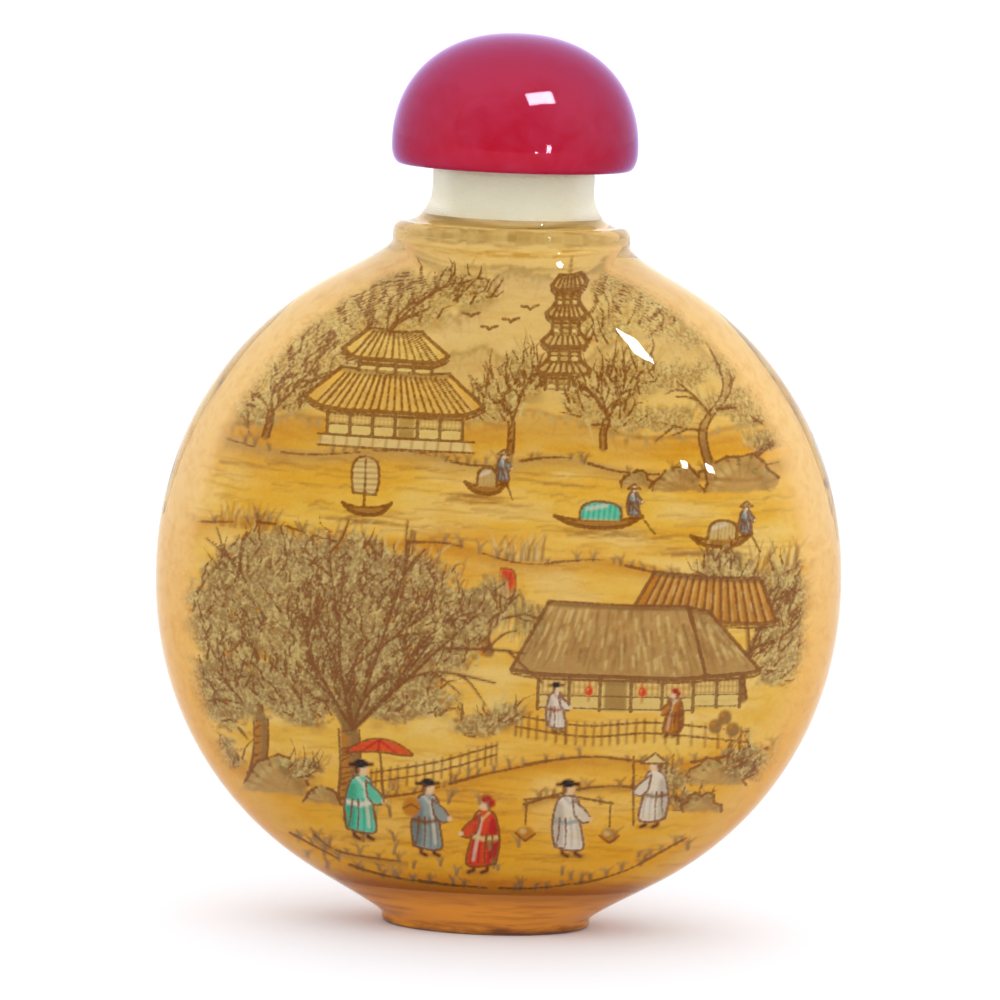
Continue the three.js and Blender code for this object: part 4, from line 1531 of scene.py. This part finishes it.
def gloss_light(name, shown_on, azimuth, elevation, width, height):
    """A window's glint on one piece, in degrees: its direction, right of the front and up, and its spread."""
    a, e = math.radians(azimuth), math.radians(elevation)
    towards = Vector((0, 0, BODY_MIDDLE))
    direction = Vector((math.sin(a) * math.cos(e), -math.cos(a) * math.cos(e), math.sin(e)))
    at = towards + LIGHT_DISTANCE * direction
    size = [2 * LIGHT_DISTANCE * math.tan(math.radians(spread) / 2) for spread in (width, height)]
    data = bpy.data.lights.new(name, "AREA")
    data.shape = "RECTANGLE"
    data.size, data.size_y = size
    data.energy = math.pi * size[0] * size[1] * WINDOW_LIGHT
    light = bpy.data.objects.new(name, data)
    light.location = at
    light.rotation_euler = (towards - at).to_track_quat("-Z", "Y").to_euler()
    seen_in_gloss_alone(light)
    bpy.context.scene.collection.objects.link(light)
    shown = bpy.data.collections.new(name)
    shown.objects.link(shown_on)
    light.light_linking.receiver_collection = shown


def seen_in_gloss_alone(obj):
    obj.visible_camera = False
    obj.visible_diffuse = False
    obj.visible_transmission = False


def make_room_end():
    """The dark end of the room behind the lens, fading into its white sides, that the broad face reflects."""
    finish = Finish("room_end")
    radius, distance, lift = 3.0, 1.3, 0.25
    dark_radius, fade = 0.8, 2.1
    sides = 48
    centre = finish.node("ShaderNodeVectorMath", {"operation": "LENGTH"}, {0: finish.place()}, 1)
    grey = ((centre - dark_radius) / fade).clamped()
    finish.shade(Base_Color=(0, 0, 0), Roughness=1.0, Specular_IOR_Level=0.0, Emission_Strength=ROOM_LIGHT)
    finish.shade(Emission_Color=finish.mixed(grey, ROOM_DARK, WHITE_WALL))
    angles = np.linspace(0, 2 * math.pi, sides, endpoint=False)
    rim = [(radius * math.cos(a), 0, radius * math.sin(a)) for a in angles]
    disc = mesh_object("room_end", rim, [tuple(range(sides))])
    disc.location = (0, -distance, lift)
    disc.data.materials.append(finish.material)
    seen_in_gloss_alone(disc)


def make_camera():
    """The photograph's view, a little from above and rolled, with the body where the photograph has it."""
    e, roll = CAMERA_ELEVATION, CAMERA_ROLL
    level_right = Vector((1, 0, 0))
    level_up = Vector((0, math.sin(e), math.cos(e)))
    right = level_right * math.cos(roll) + level_up * math.sin(roll)
    up = level_up * math.cos(roll) - level_right * math.sin(roll)
    back = right.cross(up)
    across = (IMAGE_SIDE / 2 - BODY_CENTRE_PIXEL[0]) * PIXEL
    rise = (BODY_CENTRE_PIXEL[1] - IMAGE_SIDE / 2) * PIXEL
    aim = Vector((0, 0, BODY_MIDDLE)) + right * across + up * rise
    data = bpy.data.cameras.new("camera")
    data.sensor_width = SENSOR
    data.lens = SENSOR * CAMERA_DISTANCE / (IMAGE_SIDE * PIXEL)
    data.clip_start = 0.01
    camera = bpy.data.objects.new("camera", data)
    turn = Matrix((right, up, back)).transposed().to_4x4()
    camera.matrix_world = Matrix.Translation(aim + back * CAMERA_DISTANCE) @ turn
    bpy.context.scene.collection.objects.link(camera)
    bpy.context.scene.camera = camera


def dress(piece, node, finish):
    piece.data.materials.append(finish)
    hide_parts(node)
    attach(piece, "root")


front = Face(FRONT_RINGS, FRONT_COLUMNS, -1)
river_town(front)
front.meet()
back = Face(BACK_RINGS, BACK_COLUMNS, 1)
quiet_lake(back)
back.meet()

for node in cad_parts.values():
    node.hide_render = True
paint = painted_finish()
bottle = make_bottle()
dress(bottle, "bottle", glass_finish())
bottle.data.materials.append(ground_finish())
bottle.data.materials.append(foot_stain_and_painted_reflection_finish())
middle = len(front.levels) // 2
last = len(front.levels)
dress(make_film("painting_front_low", front, 0, middle + 1), "bottle", paint)
dress(make_film("painting_front_high", front, middle, last), "bottle", paint)
dress(make_film("painting_back", back, 0, len(back.levels)), "bottle", paint)
dome = make_dome()
dress(dome, "stopper_dome", ruby_finish())
dress(make_plug(), "stopper_plug", plastic_finish())

make_floor()
make_room_end()
light_room()
gloss_light("window_on_body", bottle, 34.8, 34.8, 4.4, 5.0)
gloss_light("far_pane_on_body", bottle, 31, 12, 1.8, 1.2)
gloss_light("near_pane_on_body", bottle, 38, 12.8, 2.2, 1.2)
gloss_light("window_on_dome", dome, 31, 51, 22, 13)
gloss_light("near_pane_on_dome", dome, 31.3, 2.2, 4, 6)
gloss_light("far_pane_on_dome", dome, 20, -1.5, 3, 3)
make_camera()
view = bpy.context.scene.view_settings
view.view_transform = "Standard"
view.look = "None"
